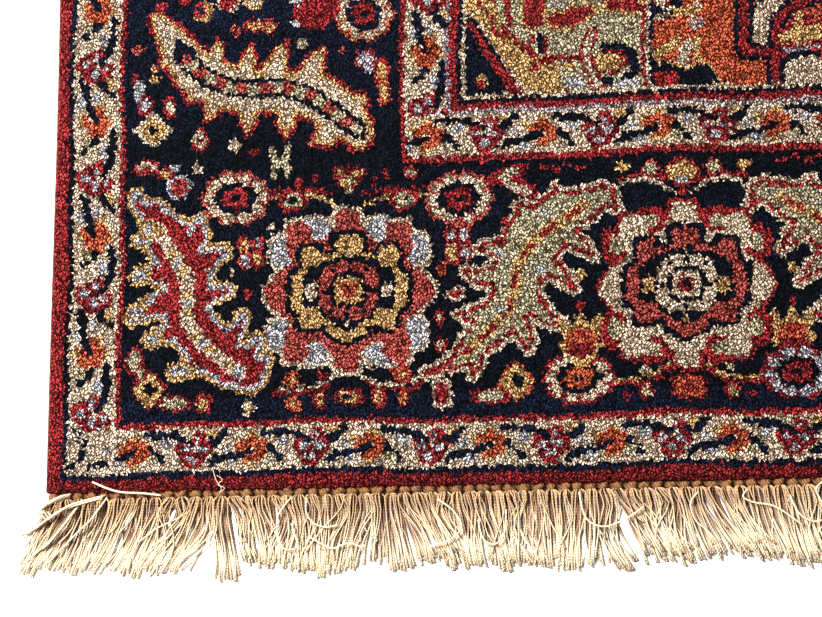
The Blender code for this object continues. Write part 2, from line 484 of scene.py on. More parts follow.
def cream_leaf(chart):
    """The cream toothed leaf of the side border, with a banded rib."""
    spine = [(92, 426, 4), (104, 410, 9), (116, 392, 14), (130, 373, 17), (150, 363, 17),
             (168, 357, 18), (187, 353, 16), (205, 352, 15), (222, 350, 17), (240, 345, 19),
             (256, 333, 18), (268, 320, 15), (273, 311, 11)]
    # A tooth's half width goes below nought, which thins its red edge to a point
    teeth = [
        [(146, 378, 8), (149, 395, 2.5), (149, 405, -4)],
        [(174, 372, 8), (178, 387, 2.5), (179, 399, -4)],
        [(200, 370, 9), (206, 387, 4), (212, 401, -4)],
        [(232, 364, 10), (240, 381, 4), (246, 393, -4)],
        [(266, 328, 12), (276, 341, 4), (280, 348, -2)],
        [(112, 388, 10), (103, 384, 3), (98, 380, -2)],
        [(134, 356, 8), (126, 350, 1), (119, 348, -4)],
        [(150, 350, 9), (143, 337, 3), (138, 328, -3)],
        [(178, 346, 9), (176, 328, 4), (174, 313, -4)],
        [(212, 343, 10), (210, 323, 4), (209, 307, -4)],
        [(256, 320, 12), (244, 309, 7), (231, 303, -3)],
    ]
    chart.strokes([spine, *teeth], (5.5, RED), (2.4, GOLD), (-1.6, CREAM))
    rib = [(117, 393), (123, 383), (133, 374), (146, 366), (162, 359), (180, 357), (205, 357),
           (220, 352), (236, 345), (250, 333), (264, 321), (273, 315)]
    chart.strokes([[(u, v, 9) for u, v in rib]], (0, NAVY))
    chart.checks(rib, 5.0, 10.4, (BRICK, SAGE))
    chart.strokes([[(112, 403, 3), (117, 393, 7)]], (0, NAVY))
    chart.patch(121, 386, 5, 5, 2, (0, BRICK), (-3, NAVY))


def sage_leaf(chart):
    """The sage toothed leaf between two rosettes, with a gold and red rib."""
    spine = [(366, 112, 9), (388, 134, 15), (408, 158, 18), (412, 186, 22), (424, 212, 24),
             (448, 232, 20), (474, 244, 12), (492, 250, 5)]
    teeth = [
        [(366, 110, 7), (352, 104, 3), (332, 98, 1)],
        [(376, 112, 6), (374, 100, 3), (373, 94, 0.4)],
        [(388, 150, 8), (370, 146, 5), (360, 148, 0.6)],
        [(394, 180, 8), (376, 180, 5), (366, 186, 1.5)],
        [(394, 204, 8), (384, 206, 4), (376, 204, 0.6)],
        [(424, 232, 9), (416, 240, 4), (413, 242, 0.6)],
        [(456, 244, 9), (448, 252, 4), (446, 258, 0.6)],
        [(486, 252, 6), (496, 240, 2.5), (500, 234, 0.4)],
        [(452, 218, 9), (466, 206, 5), (476, 196, 0.8)],
        [(436, 190, 8), (448, 180, 5), (460, 168, 1)],
        [(424, 156, 9), (440, 140, 4), (452, 138, 0.8)],
        [(414, 136, 8), (420, 124, 5), (422, 116, 1)],
    ]
    chart.strokes([spine, *teeth], (5.5, CREAM), (1.6, RED), (-2.2, SAGE))
    rib = [(366, 114), (388, 132), (406, 154), (410, 186), (424, 210), (446, 226), (472, 242)]
    chart.strokes([[(u, v, 5) for u, v in rib]], (0, GOLD))
    chart.checks(rib, 2.4, 9, (RED, GOLD, RED))
    for u, v in ((398, 150), (396, 200), (436, 236), (430, 186)):
        chart.patch(u, v, 5, 3, 2, (0, SILVER))


def end_border(chart):
    """The wide border of one end, from the corner to the middle of its second rosette."""
    # Vines under and over the first rosette
    chart.strokes([[(198, 82, 2.0), (226, 81, 2.4), (248, 86, 2.0)],
                   [(278, 92, 1.6), (292, 84, 2.4), (318, 84, 2.4), (332, 92, 2)]], (0, WINE))
    chart.strokes([[(198, 85, 1.4), (226, 84, 1.5), (244, 88, 1.5), (253, 95, 1.6)],
                   [(276, 95, 1.5), (290, 88, 1.6), (310, 88, 1.6), (326, 94, 1.6), (344, 104, 1.6)]],
                  (0, CREAM))
    chart.strokes([[(196, 261, 2.2), (228, 262, 2.2), (250, 256, 2.0)],
                   [(278, 256, 2), (300, 260, 2.4), (330, 262, 2.2)]], (0, WINE))
    chart.strokes([[(198, 257, 2), (228, 257, 1.8), (244, 252, 1.8), (256, 243, 1.6)],
                   [(274, 243, 1.6), (288, 251, 1.8), (304, 255, 1.8), (332, 257, 2)]], (0, GOLD))
    for u in (216, 314):
        chart.bloom(u, 252, 13, 11, 3, 0.1, (1.0, RED), (0.62, SAGE), (0.25, NAVY))
    # Vines round the second rosette
    chart.strokes([[(492, 83, 1.6), (516, 82, 1.8), (534, 88, 2.0)]], (0, RED))
    chart.strokes([[(492, 87, 1.6), (512, 86, 1.8), (528, 89, 1.6), (540, 97, 2.2)]], (0, GOLD))
    chart.strokes([[(504, 258, 1.6), (522, 262, 1.8), (538, 256, 1.8), (550, 246, 1.6)]], (0, CREAM))
    chart.strokes([[(500, 263, 1.6), (524, 266, 1.8), (540, 260, 1.8)]], (0, RED))
    chart.strokes([[(534, 92, 2.0), (546, 95, 2.4), (566, 95, 2.4), (578, 92, 2.0)]], (0, RED))
    chart.bloom(556, 78, 17, 12, 5, 0.12, (1.0, WINE), (0.78, ORANGE), (0.35, RED))
    # Rosettes and leaves
    rosette(chart.placed(264, 170), *DARK_ROSETTE)
    corner_leaf(chart)
    sage_leaf(chart)
    ring_flower(chart, 165, 257, 31, 25, CREAM, BRICK, RED)
    ring_flower(chart, 362, 251, 30.5, 25, CREAM, BRICK, RED)
    ring_flower(chart, 463, 90, 31, 23, CREAM, RED, ORANGE)
    buds(chart, (
        (90, 88, 14, 15, 1.2, WINE, GOLD, NAVY), (410, 88, 14, 15, 1.2, ORANGE, GOLD, NAVY),
        (112, 75, 12, 5, 1.8, WINE, SAGE, None), (387, 76, 12, 5, 1.8, WINE, SAGE, None),
        (77, 114, 6, 9, 2, WINE, SAGE, None), (83, 103, 3, 5, 2, RED, SAGE, None),
        (138, 74, 5, 6, 2, RED, GOLD, RED), (177, 70, 6, 7, 1.4, None, CREAM, GOLD),
        (216, 71, 7, 6, 2, None, ORANGE, GOLD), (215, 92, 7, 7, 2, None, ORANGE, GOLD),
        (239, 75, 4, 6, 2, WINE, GOLD, RED), (265, 76, 9, 5, 2, WINE, GOLD, NAVY),
        (291, 76, 4, 6, 2, RED, GOLD, RED), (312, 76, 5, 7, 2, None, ORANGE, GOLD),
        (311, 97, 6, 6, 2, RED, ORANGE, GOLD), (242, 96, 5, 2.5, 2, None, RED, None),
        (345, 80, 6, 9, 4, CREAM, RED, WINE), (346, 122, 4, 4, 1.6, RED, CREAM, None),
        (344, 146, 4, 8, 2, None, RED, CREAM), (357, 166, 5, 4, 2, CREAM, RED, None),
        (345, 190, 4, 7, 2, None, ORANGE, RED), (354, 203, 4, 7, 3, RED, GOLD, None),
        (365, 203, 3.5, 5, 3, RED, SILVER, None), (354, 218, 4, 4, 3, RED, SILVER, None),
        (365, 218, 4, 4, 3, RED, SILVER, None), (360, 228, 10, 3, 3, None, BRICK, None),
        (175, 171, 4, 6, 1.6, None, RED, CREAM), (160, 191, 3, 4, 1.4, None, CREAM, None),
        (172, 214, 4, 5, 2, RED, GOLD, ORANGE), (172, 200, 4, 5, 2, RED, SILVER, None),
        (183, 201, 3, 5, 2, RED, GOLD, None), (184, 214, 2.5, 4, 2, RED, SILVER, None),
        (197, 229, 4.5, 3.5, 1.5, None, CREAM, None),
        (199, 279, 3.5, 6, 2, None, SAGE, None), (210, 279, 3.5, 6, 2, None, SAGE, None),
        (163, 305, 4.5, 6, 2, None, CREAM, None), (130, 285, 4.5, 5, 2, None, CREAM, None),
        (265, 270, 9, 8, 1.6, WINE, GOLD, SAGE), (258, 275, 4, 3, 2, WINE, GOLD, None),
        (273, 275, 4, 3, 2, WINE, GOLD, None), (265, 259, 3, 3, 2, None, SAGE, None),
        (235, 272, 2.5, 5, 2, None, WINE, None), (298, 274, 2.5, 5, 2, None, WINE, None),
        (221, 267, 3, 5, 2, None, RED, None), (288, 266, 2, 6, 2, None, WINE, None),
        (320, 276, 4, 4, 1.6, RED, CREAM, None),
        (466, 180, 5, 5, 1.6, None, GOLD, None), (466, 152, 3, 4, 2, None, RED, None),
        (402, 228, 4, 5, 1.3, None, RED, None),
        (438, 277, 5, 2, 2, None, RED, None), (448, 274, 5, 2, 2, None, RED, None),
        (458, 278, 3, 1.5, 2, None, RED, None), (468, 275, 5, 2, 2, None, RED, None),
        (503, 273, 7, 6, 1.1, None, GOLD, None), (529, 270, 5, 6, 1.4, RED, SAGE, None),
        (520, 95, 4, 4, 1.3, None, SAGE, None), (520, 75, 4, 5, 1.5, RED, SAGE, GOLD),
        (503, 72, 4, 3, 2, None, WINE, None),
    ))
    # A comma of sage, red and cream
    chart.strokes([[(392, 266, 2), (404, 270, 5), (418, 277, 2)],
                   [(402, 268, 4), (410, 262, 5), (424, 256, 4)]], (2.8, RED))
    chart.strokes([[(398, 269, 2), (406, 271, 4), (414, 274, 1.5)]], (0, SAGE))
    chart.strokes([[(404, 264, 3), (412, 259, 4), (422, 256, 3)]], (0, CREAM))
    # A tulip that stands on the third ring flower
    chart.strokes([[(466, 126, 11), (466, 112, 10)], [(456, 126, 4), (450, 138, 1.5)],
                   [(476, 126, 4), (482, 140, 1.5)], [(466, 130, 5), (466, 143, 1.5)],
                   [(456, 116, 4), (449, 120, 1)], [(476, 116, 4), (483, 118, 1)]], (1.8, GOLD))
    chart.patch(466, 122, 13, 11, 2.4, (0, ORANGE))
    chart.patch(466, 114, 12, 6, 2, (0, WINE))
    chart.patch(466, 128, 4, 4, 2, (0, RED))
    # A heart flower over the second rosette
    chart.patch(556, 266, 13, 10, 1.7, (3, RED), (0, GOLD))
    chart.patch(556, 260, 4, 3, 2, (0, SILVER))
    chart.patch(556, 250, 3, 5, 2, (0, RED))
    rosette(chart.placed(556, 167), *PALE_ROSETTE)


def side_border(chart):
    """The wide border of one side, over the corner leaf, up to the middle of the rug."""
    cream_leaf(chart)
    ring_flower(chart, 279.5, 422, 27, 26, CREAM, ORANGE, RED)
    # A wide red leaf tipped in silver, and a sage sprig with two prongs
    chart.patch(236, 427, 20, 18, 2.2, (0, RED))
    chart.patch(217, 415, 4.5, 4, 2, (0, SILVER))
    chart.patch(218, 437, 5, 4, 2, (0, SILVER))
    chart.strokes([[(197, 299, 3), (201, 288, 4), (198, 276, 3.2)],
                   [(211, 300, 3), (206, 288, 4), (211, 275, 3.2)]], (0, SAGE))
    # A four-pointed star
    chart.patch(90, 322, 19, 18, 0.95, (0, CREAM))
    chart.patch(90, 322, 13, 12, 1.2, (0, GOLD))
    chart.patch(90, 322, 4, 4, 1.6, (0, NAVY))
    buds(chart, (
        (132, 311, 6, 8, 1.6, RED, CREAM, RED), (180, 299, 5, 4, 1.6, None, WINE, None),
        (84, 288, 9, 5, 1.6, RED, CREAM, RED), (102, 282, 4, 3, 2, RED, GOLD, None),
        (107, 274, 3, 3, 2, None, GOLD, None), (110, 286, 5, 4, 2, None, SILVER, None),
        (114, 268, 8, 9, 2, SILVER, BRICK, RED), (106, 343, 3.5, 6, 2, RED, CREAM, None),
        (79, 360, 5, 11, 1.8, None, SILVER, None), (84, 346, 4, 6, 2, RED, SILVER, None),
        (74, 370, 3, 5, 2, None, RED, None), (93, 369, 6, 6, 1, None, GOLD, None),
        (93, 379, 3, 3, 2, None, GOLD, None), (76, 398, 5.5, 5.5, 1.5, None, BRICK, None),
        (134, 430, 9, 10, 2, None, GOLD, None), (132, 432, 6, 7, 2, None, RED, NAVY),
        (164, 411, 4.5, 6, 2, None, BRICK, None),
        (181, 416, 7, 4, 1.7, RED, GOLD, ORANGE), (195, 414, 5, 5, 1.7, RED, GOLD, ORANGE),
        (225, 396, 4.5, 6, 2, None, SAGE, None), (284, 379, 8, 8, 2, RED, LILAC, SILVER),
        (286, 370, 4, 5, 1.6, None, SILVER, None), (297, 367, 4.5, 10, 2, RED, GOLD, None),
        (299, 351, 3, 9, 2, ORANGE, GOLD, None), (262, 389, 3.5, 4, 2, None, BRICK, None),
        (157, 440, 8, 8, 2, CREAM, RED, None), (179, 440, 7, 7, 2, GOLD, CREAM, None),
        (96, 438, 6, 4, 2, None, RED, None), (116, 441, 5, 4, 2, None, RED, None),
    ))
    # Beyond the photo the border goes on with the end border's rosettes and leaves, turned
    for v, yarns in ((540, PALE_ROSETTE), (870, DARK_ROSETTE), (1200, PALE_ROSETTE)):
        rosette(chart.placed(189, v, turned=True), *yarns)
    # The leaf's own middle lies at 425 across and 182 along
    for v in (705, 1035):
        sage_leaf(chart.placed(189 - 182, v - 425, turned=True))
    for v in (622, 788, 952, 1118):
        ring_flower(chart, 98, v, 24, 30, CREAM, RED, ORANGE)
        ring_flower(chart, 280, v, 24, 30, CREAM, BRICK, RED)
    buds(chart, [(u, v, 8, 8, 1.2, RED, GOLD, NAVY)
                 for v in (540, 705, 870, 1035, 1200) for u in (84, 295)])
    buds(chart, [(u, v, 4, 5, 1.5, None, CREAM if (u + v) % 2 else GOLD, None)
                 for v in (478, 505, 580, 660, 750, 830, 910, 990, 1075, 1160)
                 for u in (84, 112, 268, 297)])


def tree_panel(panel):
    """A field panel: a gold branch over a navy slope, red fans and a flower."""
    panel.strokes([[(-30, 60, 35), (-18, 40, 37), (-8, 16, 42), (6, -8, 44)]], (0, NAVY))
    panel.strokes([[(3, 66, 2), (13, 51, 3), (21, 35, 3.5), (31, 21, 4), (40, 9, 5), (45, 0, 5)]],
                  (0, RED))
    panel.patch(14, 12, 5, 6, 1.8, (0, GOLD))
    panel.patch(12, 9, 4, 3.5, 2, (0, RED))
    panel.strokes([[(2, 88, 6), (24, 60, 6), (38, 41, 9), (54, 26, 14), (66, 12, 17), (70, 0, 18)]],
                  (2.0, CREAM), (0, GOLD))
    panel.strokes([[(34, 58, 2.5), (48, 46, 3), (62, 34, 3)], [(60, 22, 2.5), (72, 30, 3)],
                   [(86, 8, 2.5), (88, -2, 3)]], (0, RED))
    panel.strokes([[(16, 86, 3), (26, 74, 4), (30, 58, 3)]], (3, RED), (0, GOLD))
    panel.strokes([[(29, 92, 2.5), (33, 66, 2.5)]], (0, SAGE))
    panel.strokes([[(36, 92, 2.5), (39, 62, 3)]], (0, RED))
    panel.strokes([[(60, 96, 8), (60, 68, 9)], [(78, 66, 6), (94, 68, 8), (108, 73, 5)],
                   [(128, 78, 5), (148, 74, 6)]], (3.2, GOLD), (0, RED))
    panel.patch(80, 80, 8, 4, 2, (0, SILVER))
    panel.strokes([[(66, 38, 2.4), (66, 52, 2.4)]], (0, NAVY))
    panel.strokes([[(71, 36, 2.2), (71, 50, 2)], [(72, 31, 3), (104, 31, 2.5)],
                   [(57, 44, 2), (60, 52, 2)]], (0, RED))
    panel.strokes([[(75, 25, 2.6), (96, 23, 2.6)]], (0, GOLD))
    panel.patch(94, 12, 11, 9, 3, (0, SAGE))
    panel.patch(97, 7, 8, 5, 3, (0, SILVER))
    panel.strokes([[(122, 39, 3.5), (136, 38, 4), (148, 28, 5), (150, 16, 4), (140, 8, 4)],
                   [(114, 8, 4), (128, 7, 4)]], (0, NAVY))
    panel.patch(126, 24, 18, 11, 1.8, (0, RED), (-3.2, GOLD))
    panel.patch(141, 3, 11, 5, 2, (0, SILVER))
    panel.strokes([[(112, 54, 2.5), (107, 36, 3), (109, 20, 3.5), (116, 4, 3)]], (3, RED), (0, CREAM))
    # The upper half, past the photo's edge
    for u, v in ((24, 126), (80, 122), (134, 126)):
        panel.bloom(u, v, 17, 14, 6, 0.10, (1.0, RED), (0.78, CREAM), (0.4, NAVY), (0.22, GOLD))
    panel.strokes([[(24, 110, 1.5), (52, 104, 1.8), (80, 106, 1.5), (108, 104, 1.8), (134, 110, 1.5)]],
                  (0, NAVY))
    for u in (52, 108):
        panel.patch(u, 134, 6, 8, 1.3, (3, WINE), (0, GOLD))


def stepped_panel(panel):
    """A field panel: an orange ground, a navy hill and stepped bands round a cream middle."""
    panel.yarn[:] = ORANGE
    panel.strokes([[(0, 65, 7), (14, 66, 6), (20, 74, 5)]], (0, NAVY))
    panel.strokes([[(0, 62, 2), (12, 63, 2)], [(8, 70, 1.6), (20, 69, 2)], [(7, 76, 4), (9, 82, 5)]],
                  (0, CREAM))
    panel.strokes([[(34, 56, 3), (38, 74, 3)]], (0, CREAM))
    panel.strokes([[(22, 66, 4.5), (36, 68, 4.5)]], (0, GOLD))
    panel.strokes([[(38, 52, 3), (43, 60, 2.5)]], (0, LILAC))
    panel.strokes([[(0, 27, 6), (8, 31, 6), (18, 38, 4), (22, 44, 2)], [(37, 24, 3), (40, 42, 2.5)]],
                  (0, GOLD))
    panel.strokes([[(26, 22, 5.5), (32, 38, 5)]], (0, CREAM))
    panel.strokes([[(-8, 10, 10), (12, 11, 9), (26, 6, 8)], [(30, 4, 9), (42, 11, 8), (50, 2, 6)]],
                  (3, GOLD), (0, NAVY))
    panel.strokes([[(2, 5, 8), (16, 4, 7)]], (0, RED))
    steps = [(78.5, 90), (78.5, 30), (105.5, 30), (105.5, 0)]
    panel.strokes([[(u, v, 8) for u, v in steps]], (0, NAVY))
    panel.strokes([[(u, v, 4) for u, v in steps]], (0, RED))
    panel.strokes([[(93.5, 43, 7), (95, 64, 8), (108, 76, 8), (124, 84, 6)]], (4, NAVY), (0, CREAM))
    panel.strokes([[(106, 42, 3), (109, 58, 4), (120, 69, 4), (132, 74, 4), (150, 84, 5)]],
                  (3.5, NAVY), (0, RED))
    panel.strokes([[(112, 40, 4), (126, 44, 8), (150, 44, 8)], [(126, 50, 5), (127, 62, 3)]],
                  (3, RED), (0, GOLD))
    panel.strokes([[(116, 29, 2.4), (156, 33, 2.4)]], (2.5, RED), (0, LILAC))
    panel.patch(132, 7, 19, 17, 2.4, (4, NAVY), (0, CREAM))
    # The upper half, past the photo's edge
    panel.bloom(80, 122, 30, 24, 8, 0.12, (1.0, NAVY), (0.85, CREAM), (0.6, RED), (0.34, GOLD))
    for u in (22, 138):
        panel.patch(u, 122, 12, 16, 1.2, (4, NAVY), (0, GOLD))
        panel.patch(u, 122, 5, 7, 1.2, (0, RED))


def cypress_panel(panel):
    """A field panel: a dark cypress between two blossoms on cream."""
    panel.yarn[:] = CREAM
    panel.strokes([[(80, 20, 20), (80, 60, 26), (80, 100, 16), (80, 138, 2)]], (4, RED), (0, NAVY))
    panel.checks([(80, 14), (80, 138)], 4, 9, (GOLD, RED, SAGE))
    for side in (-1, 1):
        for v in (40, 66, 92):
            panel.strokes([[(80, v, 2), (80 + side * 16, v + 12, 2)]], (0, SAGE))
        panel.strokes([[(80 + side * 58, 4, 2.5), (80 + side * 54, 50, 2), (80 + side * 58, 84, 2)]],
                      (0, NAVY))
        panel.bloom(80 + side * 57, 96, 18, 18, 6, 0.10, (1.0, NAVY), (0.84, RED), (0.46, GOLD),
                    (0.2, NAVY))
        panel.bloom(80 + side * 50, 44, 14, 12, 5, 0.12, (1.0, NAVY), (0.8, ORANGE), (0.35, CREAM))
        panel.patch(80 + side * 60, 134, 9, 8, 1.2, (3, RED), (0, SAGE))
        panel.patch(80 + side * 60, 16, 8, 7, 1.2, (3, RED), (0, GOLD))
    panel.patch(80, 6, 22, 6, 2, (3, RED), (0, SAGE))


def bush_panel(panel):
    """A field panel: a flowering bush on red."""
    panel.yarn[:] = RED
    panel.strokes([[(80, 2, 4), (80, 76, 3)], [(80, 20, 2.5), (44, 52, 2), (34, 92, 2)],
                   [(80, 20, 2.5), (116, 52, 2), (126, 92, 2)],
                   [(80, 50, 2), (56, 84, 2), (58, 118, 2)], [(80, 50, 2), (104, 84, 2), (102, 118, 2)]],
                  (2.5, NAVY), (0, GOLD))
    for u, v, size, body in ((80, 94, 22, CREAM), (32, 108, 17, GOLD), (128, 108, 17, GOLD),
                             (56, 136, 13, SAGE), (104, 136, 13, SAGE),
                             (38, 58, 13, CREAM), (122, 58, 13, CREAM)):
        panel.bloom(u, v, size, size * 0.9, 6, 0.10, (1.0, NAVY), (0.84, body), (0.45, ORANGE),
                    (0.2, NAVY))
    for u in (18, 142):
        panel.patch(u, 20, 10, 13, 1.3, (4, NAVY), (0, SAGE))
        panel.patch(u, 20, 4, 5, 1.3, (0, RED))
    panel.patch(80, 6, 26, 5, 2, (3, NAVY), (0, GOLD))


def star_panel(panel):
    """A field panel: a lobed star between four diamonds on navy."""
    panel.yarn[:] = NAVY
    panel.bloom(80, 78, 54, 54, 8, 0.10, (1.0, GOLD), (0.93, RED), (0.72, NAVY), (0.66, CREAM),
                (0.50, BRICK), (0.30, NAVY), (0.22, GOLD))
    for u in (20, 140):
        for v in (20, 136):
            panel.patch(u, v, 13, 13, 1.1, (3.5, CREAM), (0, ORANGE))
            panel.patch(u, v, 5, 5, 1.1, (0, NAVY))
        panel.patch(u, 78, 8, 14, 1.3, (3, RED), (0, SAGE))
    for v in (18, 138):
        panel.patch(80, v, 14, 7, 1.3, (3, RED), (0, SAGE))


PANELS = (tree_panel, stepped_panel, cypress_panel, bush_panel, star_panel)
# Where a column of panels starts, the last number being the rug's middle
COLUMNS = (FIELD[0], 537.0, 693.5, 850.0)
PANEL_TALL = 155.5
PANEL_ROWS = 6


def field(chart):
    """The field: rows of framed panels, each row starting two panels on from the last."""
    column = np.searchsorted(COLUMNS, chart.across) - 1
    row = ((chart.along - FIELD[1]) // PANEL_TALL).astype(int)
    inside = (chart.across >= FIELD[0]) & (chart.along >= FIELD[1])
    for c, (start, stop) in enumerate(zip(COLUMNS, COLUMNS[1:])):
        for r in range(PANEL_ROWS):
            tufts = np.flatnonzero(inside & (column == c) & (row == r))
            if not len(tufts):
                continue
            u = chart.across[tufts] - start
            v = chart.along[tufts] - FIELD[1] - r * PANEL_TALL
            panel = Chart(u, v, np.full(len(tufts), SAGE, np.uint8))
            PANELS[(c + 2 * r) % len(PANELS)](panel)
            # A red, a cream and a navy line part one panel from the next
            for grow, yarn in ((10.5, RED), (6.5, CREAM), (3.5, NAVY)):
                panel.yarn[(u > stop - start - grow) | (v > PANEL_TALL - grow)] = yarn
            chart.yarn[tufts] = panel.yarn


def weave(across, along):
    """The yarn of tufts by their mm from the nearer side and from the nearer end."""
    chart = Chart(across, along)
    for (u, v), yarn in FRAMES:
        chart.yarn[(across >= u) & (along >= v)] = yarn
    guards(chart, OUTER_GUARD, first_u=79.0, first_v=122.0, end_repeat=102.8, side_repeat=105.2,
           depth=38.0)
    guards(chart, INNER_GUARD, first_u=336.0, first_v=385.0, end_repeat=100.8, side_repeat=105.2,
           depth=37.0)
    # The corner of the outer guard holds a small navy and sage sprig
    chart.patch(40, 35, 22, 19, 5, (0, CREAM))
    for u, v, wide, tall, yarn in ((31, 46, 7, 4, NAVY), (29, 45, 3, 2, SAGE), (35, 40, 4, 3, SAGE),
                                   (31, 33, 3, 5, NAVY), (48, 25, 9, 3, NAVY), (24, 24, 3, 3, NAVY),
                                   (52, 36, 4, 2.5, SILVER), (38, 22, 3, 2, NAVY)):
        chart.patch(u, v, wide, tall, 2, (0, yarn))
    border = ((across >= BORDER[0]) & (along >= BORDER[1])
              & ~((across >= BORDER_LINE[0]) & (along >= BORDER_LINE[1])))
    ground = np.flatnonzero(border)
    u, v = across[ground], along[ground]
    folded = np.where(u > END_MIDDLE, 2 * END_MIDDLE - u, u)
    end = Chart(folded, v, np.full(len(ground), NAVY, np.uint8))
    end_border(end)
    # One silver ring flower isn't mirrored
    ring_flower(Chart(u, v, end.yarn), 648, 90, 31, 23, SILVER, WINE, RED)
    side = Chart(u, v, end.yarn.copy())
    side_border(side)
    # The side's border starts over the end's, and a little lower by the outer guard
    upper = (u < BORDER_LINE[0]) & ((v > BORDER_LINE[1]) | ((v > 258) & (u < 128)))
    chart.yarn[ground] = np.where(upper, side.yarn, end.yarn)
    field(chart)
    return chart.yarn


def side_edge(share):
    """How far a side edge lies inside the full width, in metres, at a share of the length."""
    return EDGE_WANDER * np.sin(math.pi * EDGE_WAVES * share) ** 2


def wool_pile():
    """Hand-knotted wool: matt cut tips, each with its own tone, parted by gaps of painted shade."""
    material, tree, shader = fresh_material("hand_knotted_wool")
    yarn = node(tree, "ShaderNodeAttribute", attribute_name="yarn")
    place = node(tree, "ShaderNodeTexCoord")
    # Fibres about 1 mm apart push the cut tips out of line, and locks of several tufts lie together
    fibre = node(tree, "ShaderNodeTexNoise", [("Vector", place.outputs["Object"])],
                 in_Scale=1 / (0.9 * MM), in_Detail=2.0, in_Roughness=0.6)
    lock = node(tree, "ShaderNodeTexNoise", [("Vector", place.outputs["Object"])],
                in_Scale=1 / (9 * MM), in_Detail=1.0)
    away = node(tree, "ShaderNodeVectorMath", [(0, fibre.outputs["Color"])], operation="SUBTRACT",
                in_1=(0.5, 0.5, 0.5))
    away = node(tree, "ShaderNodeVectorMath", [(0, away.outputs[0])], operation="SCALE",
                in_Scale=0.5 * MM)
    strayed = node(tree, "ShaderNodeVectorMath", [(0, place.outputs["Object"]), (1, away.outputs[0])],
                   operation="ADD")
    # Cut tips are about 2 mm by 4 mm and lean one way in one lock and the other way in the next
    side = node(tree, "ShaderNodeMath", [(0, lock.outputs["Fac"])], operation="GREATER_THAN",
                in_1=0.5)
    leans = [node(tree, "ShaderNodeMapping", [("Vector", strayed.outputs[0])], vector_type="TEXTURE",
                  in_Rotation=(0, 0, math.radians(lean)), in_Scale=(1, 2.2, 1)) for lean in (34, -38)]
    leant = node(tree, "ShaderNodeMix", [("Factor", side.outputs[0]), (4, leans[0].outputs[0]),
                                         (5, leans[1].outputs[0])], data_type="VECTOR")
    gap = node(tree, "ShaderNodeTexVoronoi", [("Vector", leant.outputs[1])], in_Scale=1 / (1.85 * MM),
               feature="DISTANCE_TO_EDGE")
    tone = node(tree, "ShaderNodeTexVoronoi", [("Vector", leant.outputs[1])], in_Scale=1 / (1.85 * MM))
    # Painted shade: the colour darkens towards the gaps between the cut tips, where tip falls to 0
    tip = node(tree, "ShaderNodeMapRange", [("Value", gap.outputs["Distance"])], in_1=0.07, in_2=0.25)
    own = node(tree, "ShaderNodeSeparateColor", [(0, tone.outputs["Color"])])
    own = node(tree, "ShaderNodeMapRange", [("Value", own.outputs[0])], in_3=0.58, in_4=1.28)
    mottled = node(tree, "ShaderNodeMapRange", [("Value", lock.outputs["Fac"])], in_1=0.3, in_2=0.7,
                   in_3=0.85, in_4=1.05)
    shade = node(tree, "ShaderNodeMath", [(0, tip.outputs[0]), (1, mottled.outputs[0])],
                 operation="MULTIPLY")
    shade = node(tree, "ShaderNodeMath", [(0, shade.outputs[0]), (1, own.outputs[0])],
                 operation="MULTIPLY")
    # Painted shade: a gap takes a dim, deep colour, as light there has bounced from tuft to tuft
    deep = node(tree, "ShaderNodeVectorMath", [(0, yarn.outputs["Color"]), (1, yarn.outputs["Color"])],
                operation="MULTIPLY")
    deep = node(tree, "ShaderNodeVectorMath", [(0, deep.outputs[0])], operation="SCALE",
                in_Scale=0.04)
    colour = node(tree, "ShaderNodeMix", [("Factor", shade.outputs[0]), (6, deep.outputs[0]),
                                          (7, yarn.outputs["Color"])], data_type="RGBA")
    tree.links.new(colour.outputs[2], shader.inputs["Base Color"])
    relief = node(tree, "ShaderNodeMath", [(0, tip.outputs[0]), (2, fibre.outputs["Fac"])],
                  operation="MULTIPLY_ADD", in_1=0.9)
    bump = node(tree, "ShaderNodeBump", [("Height", relief.outputs[0])], in_Strength=0.9,
                in_Distance=1.8 * MM)
    tree.links.new(bump.outputs[0], shader.inputs["Normal"])
    shader.inputs["Roughness"].default_value = 0.85
    shader.inputs["Sheen Weight"].default_value = 0.01
    shader.inputs["Sheen Roughness"].default_value = 0.5
    shader.inputs["Specular IOR Level"].default_value = 0.03
    return material


def tuft_colours(across, along, rng):
    """The linear colour of each tuft: its yarn, its dye lot and its own small difference."""
    yarns = bpy.context.scene.rug_yarns
    table = np.array([getattr(yarns, name)[:3] for name in YARNS], float)
    stray = rng.normal(0, 0.8, (2, len(across)))
    u = across + stray[0] + 1.1 * np.sin(along / 47.0) + 0.8 * np.sin(along / 19.0 + 1.0)
    v = along + stray[1] + 1.1 * np.sin(across / 53.0 + 0.5) + 0.8 * np.sin(across / 23.0)
    yarn = weave(np.maximum(u, 0), np.maximum(v, 0))
    colour = table[yarn]
    # Dye lots change the navy along the warp, and the ground by the outer guard is the bluest
    lot = 0.5 + 0.5 * np.sin(along / 61.0 + 0.9) * np.sin(along / 23.0 + across / 400.0)
    lot = 0.12 + 0.3 * lot + np.interp(along, (79, 80, 300, 330, 430, 520), (0.6, 0, 0, 0.1, 0.6, 0.25))
    keep = np.clip(lot + rng.normal(0, 0.12, len(across)), 0, 1)[:, None]
    colour = np.where((yarn == NAVY)[:, None], colour * (1 - keep) + table[INDIGO] * keep, colour)
    own = np.clip(1 + rng.normal(0, 0.10, len(across)), 0.6, 1.5)
    # The red strip by each end is a darker red
    own *= np.where((yarn == RED) & (along < 12), 0.72, 1)
    row_lot = 1 + 0.04 * np.sin(along / 8.3) + 0.03 * np.sin(along / 31.0 + across / 90.0)
    return colour * (own * row_lot)[:, None]


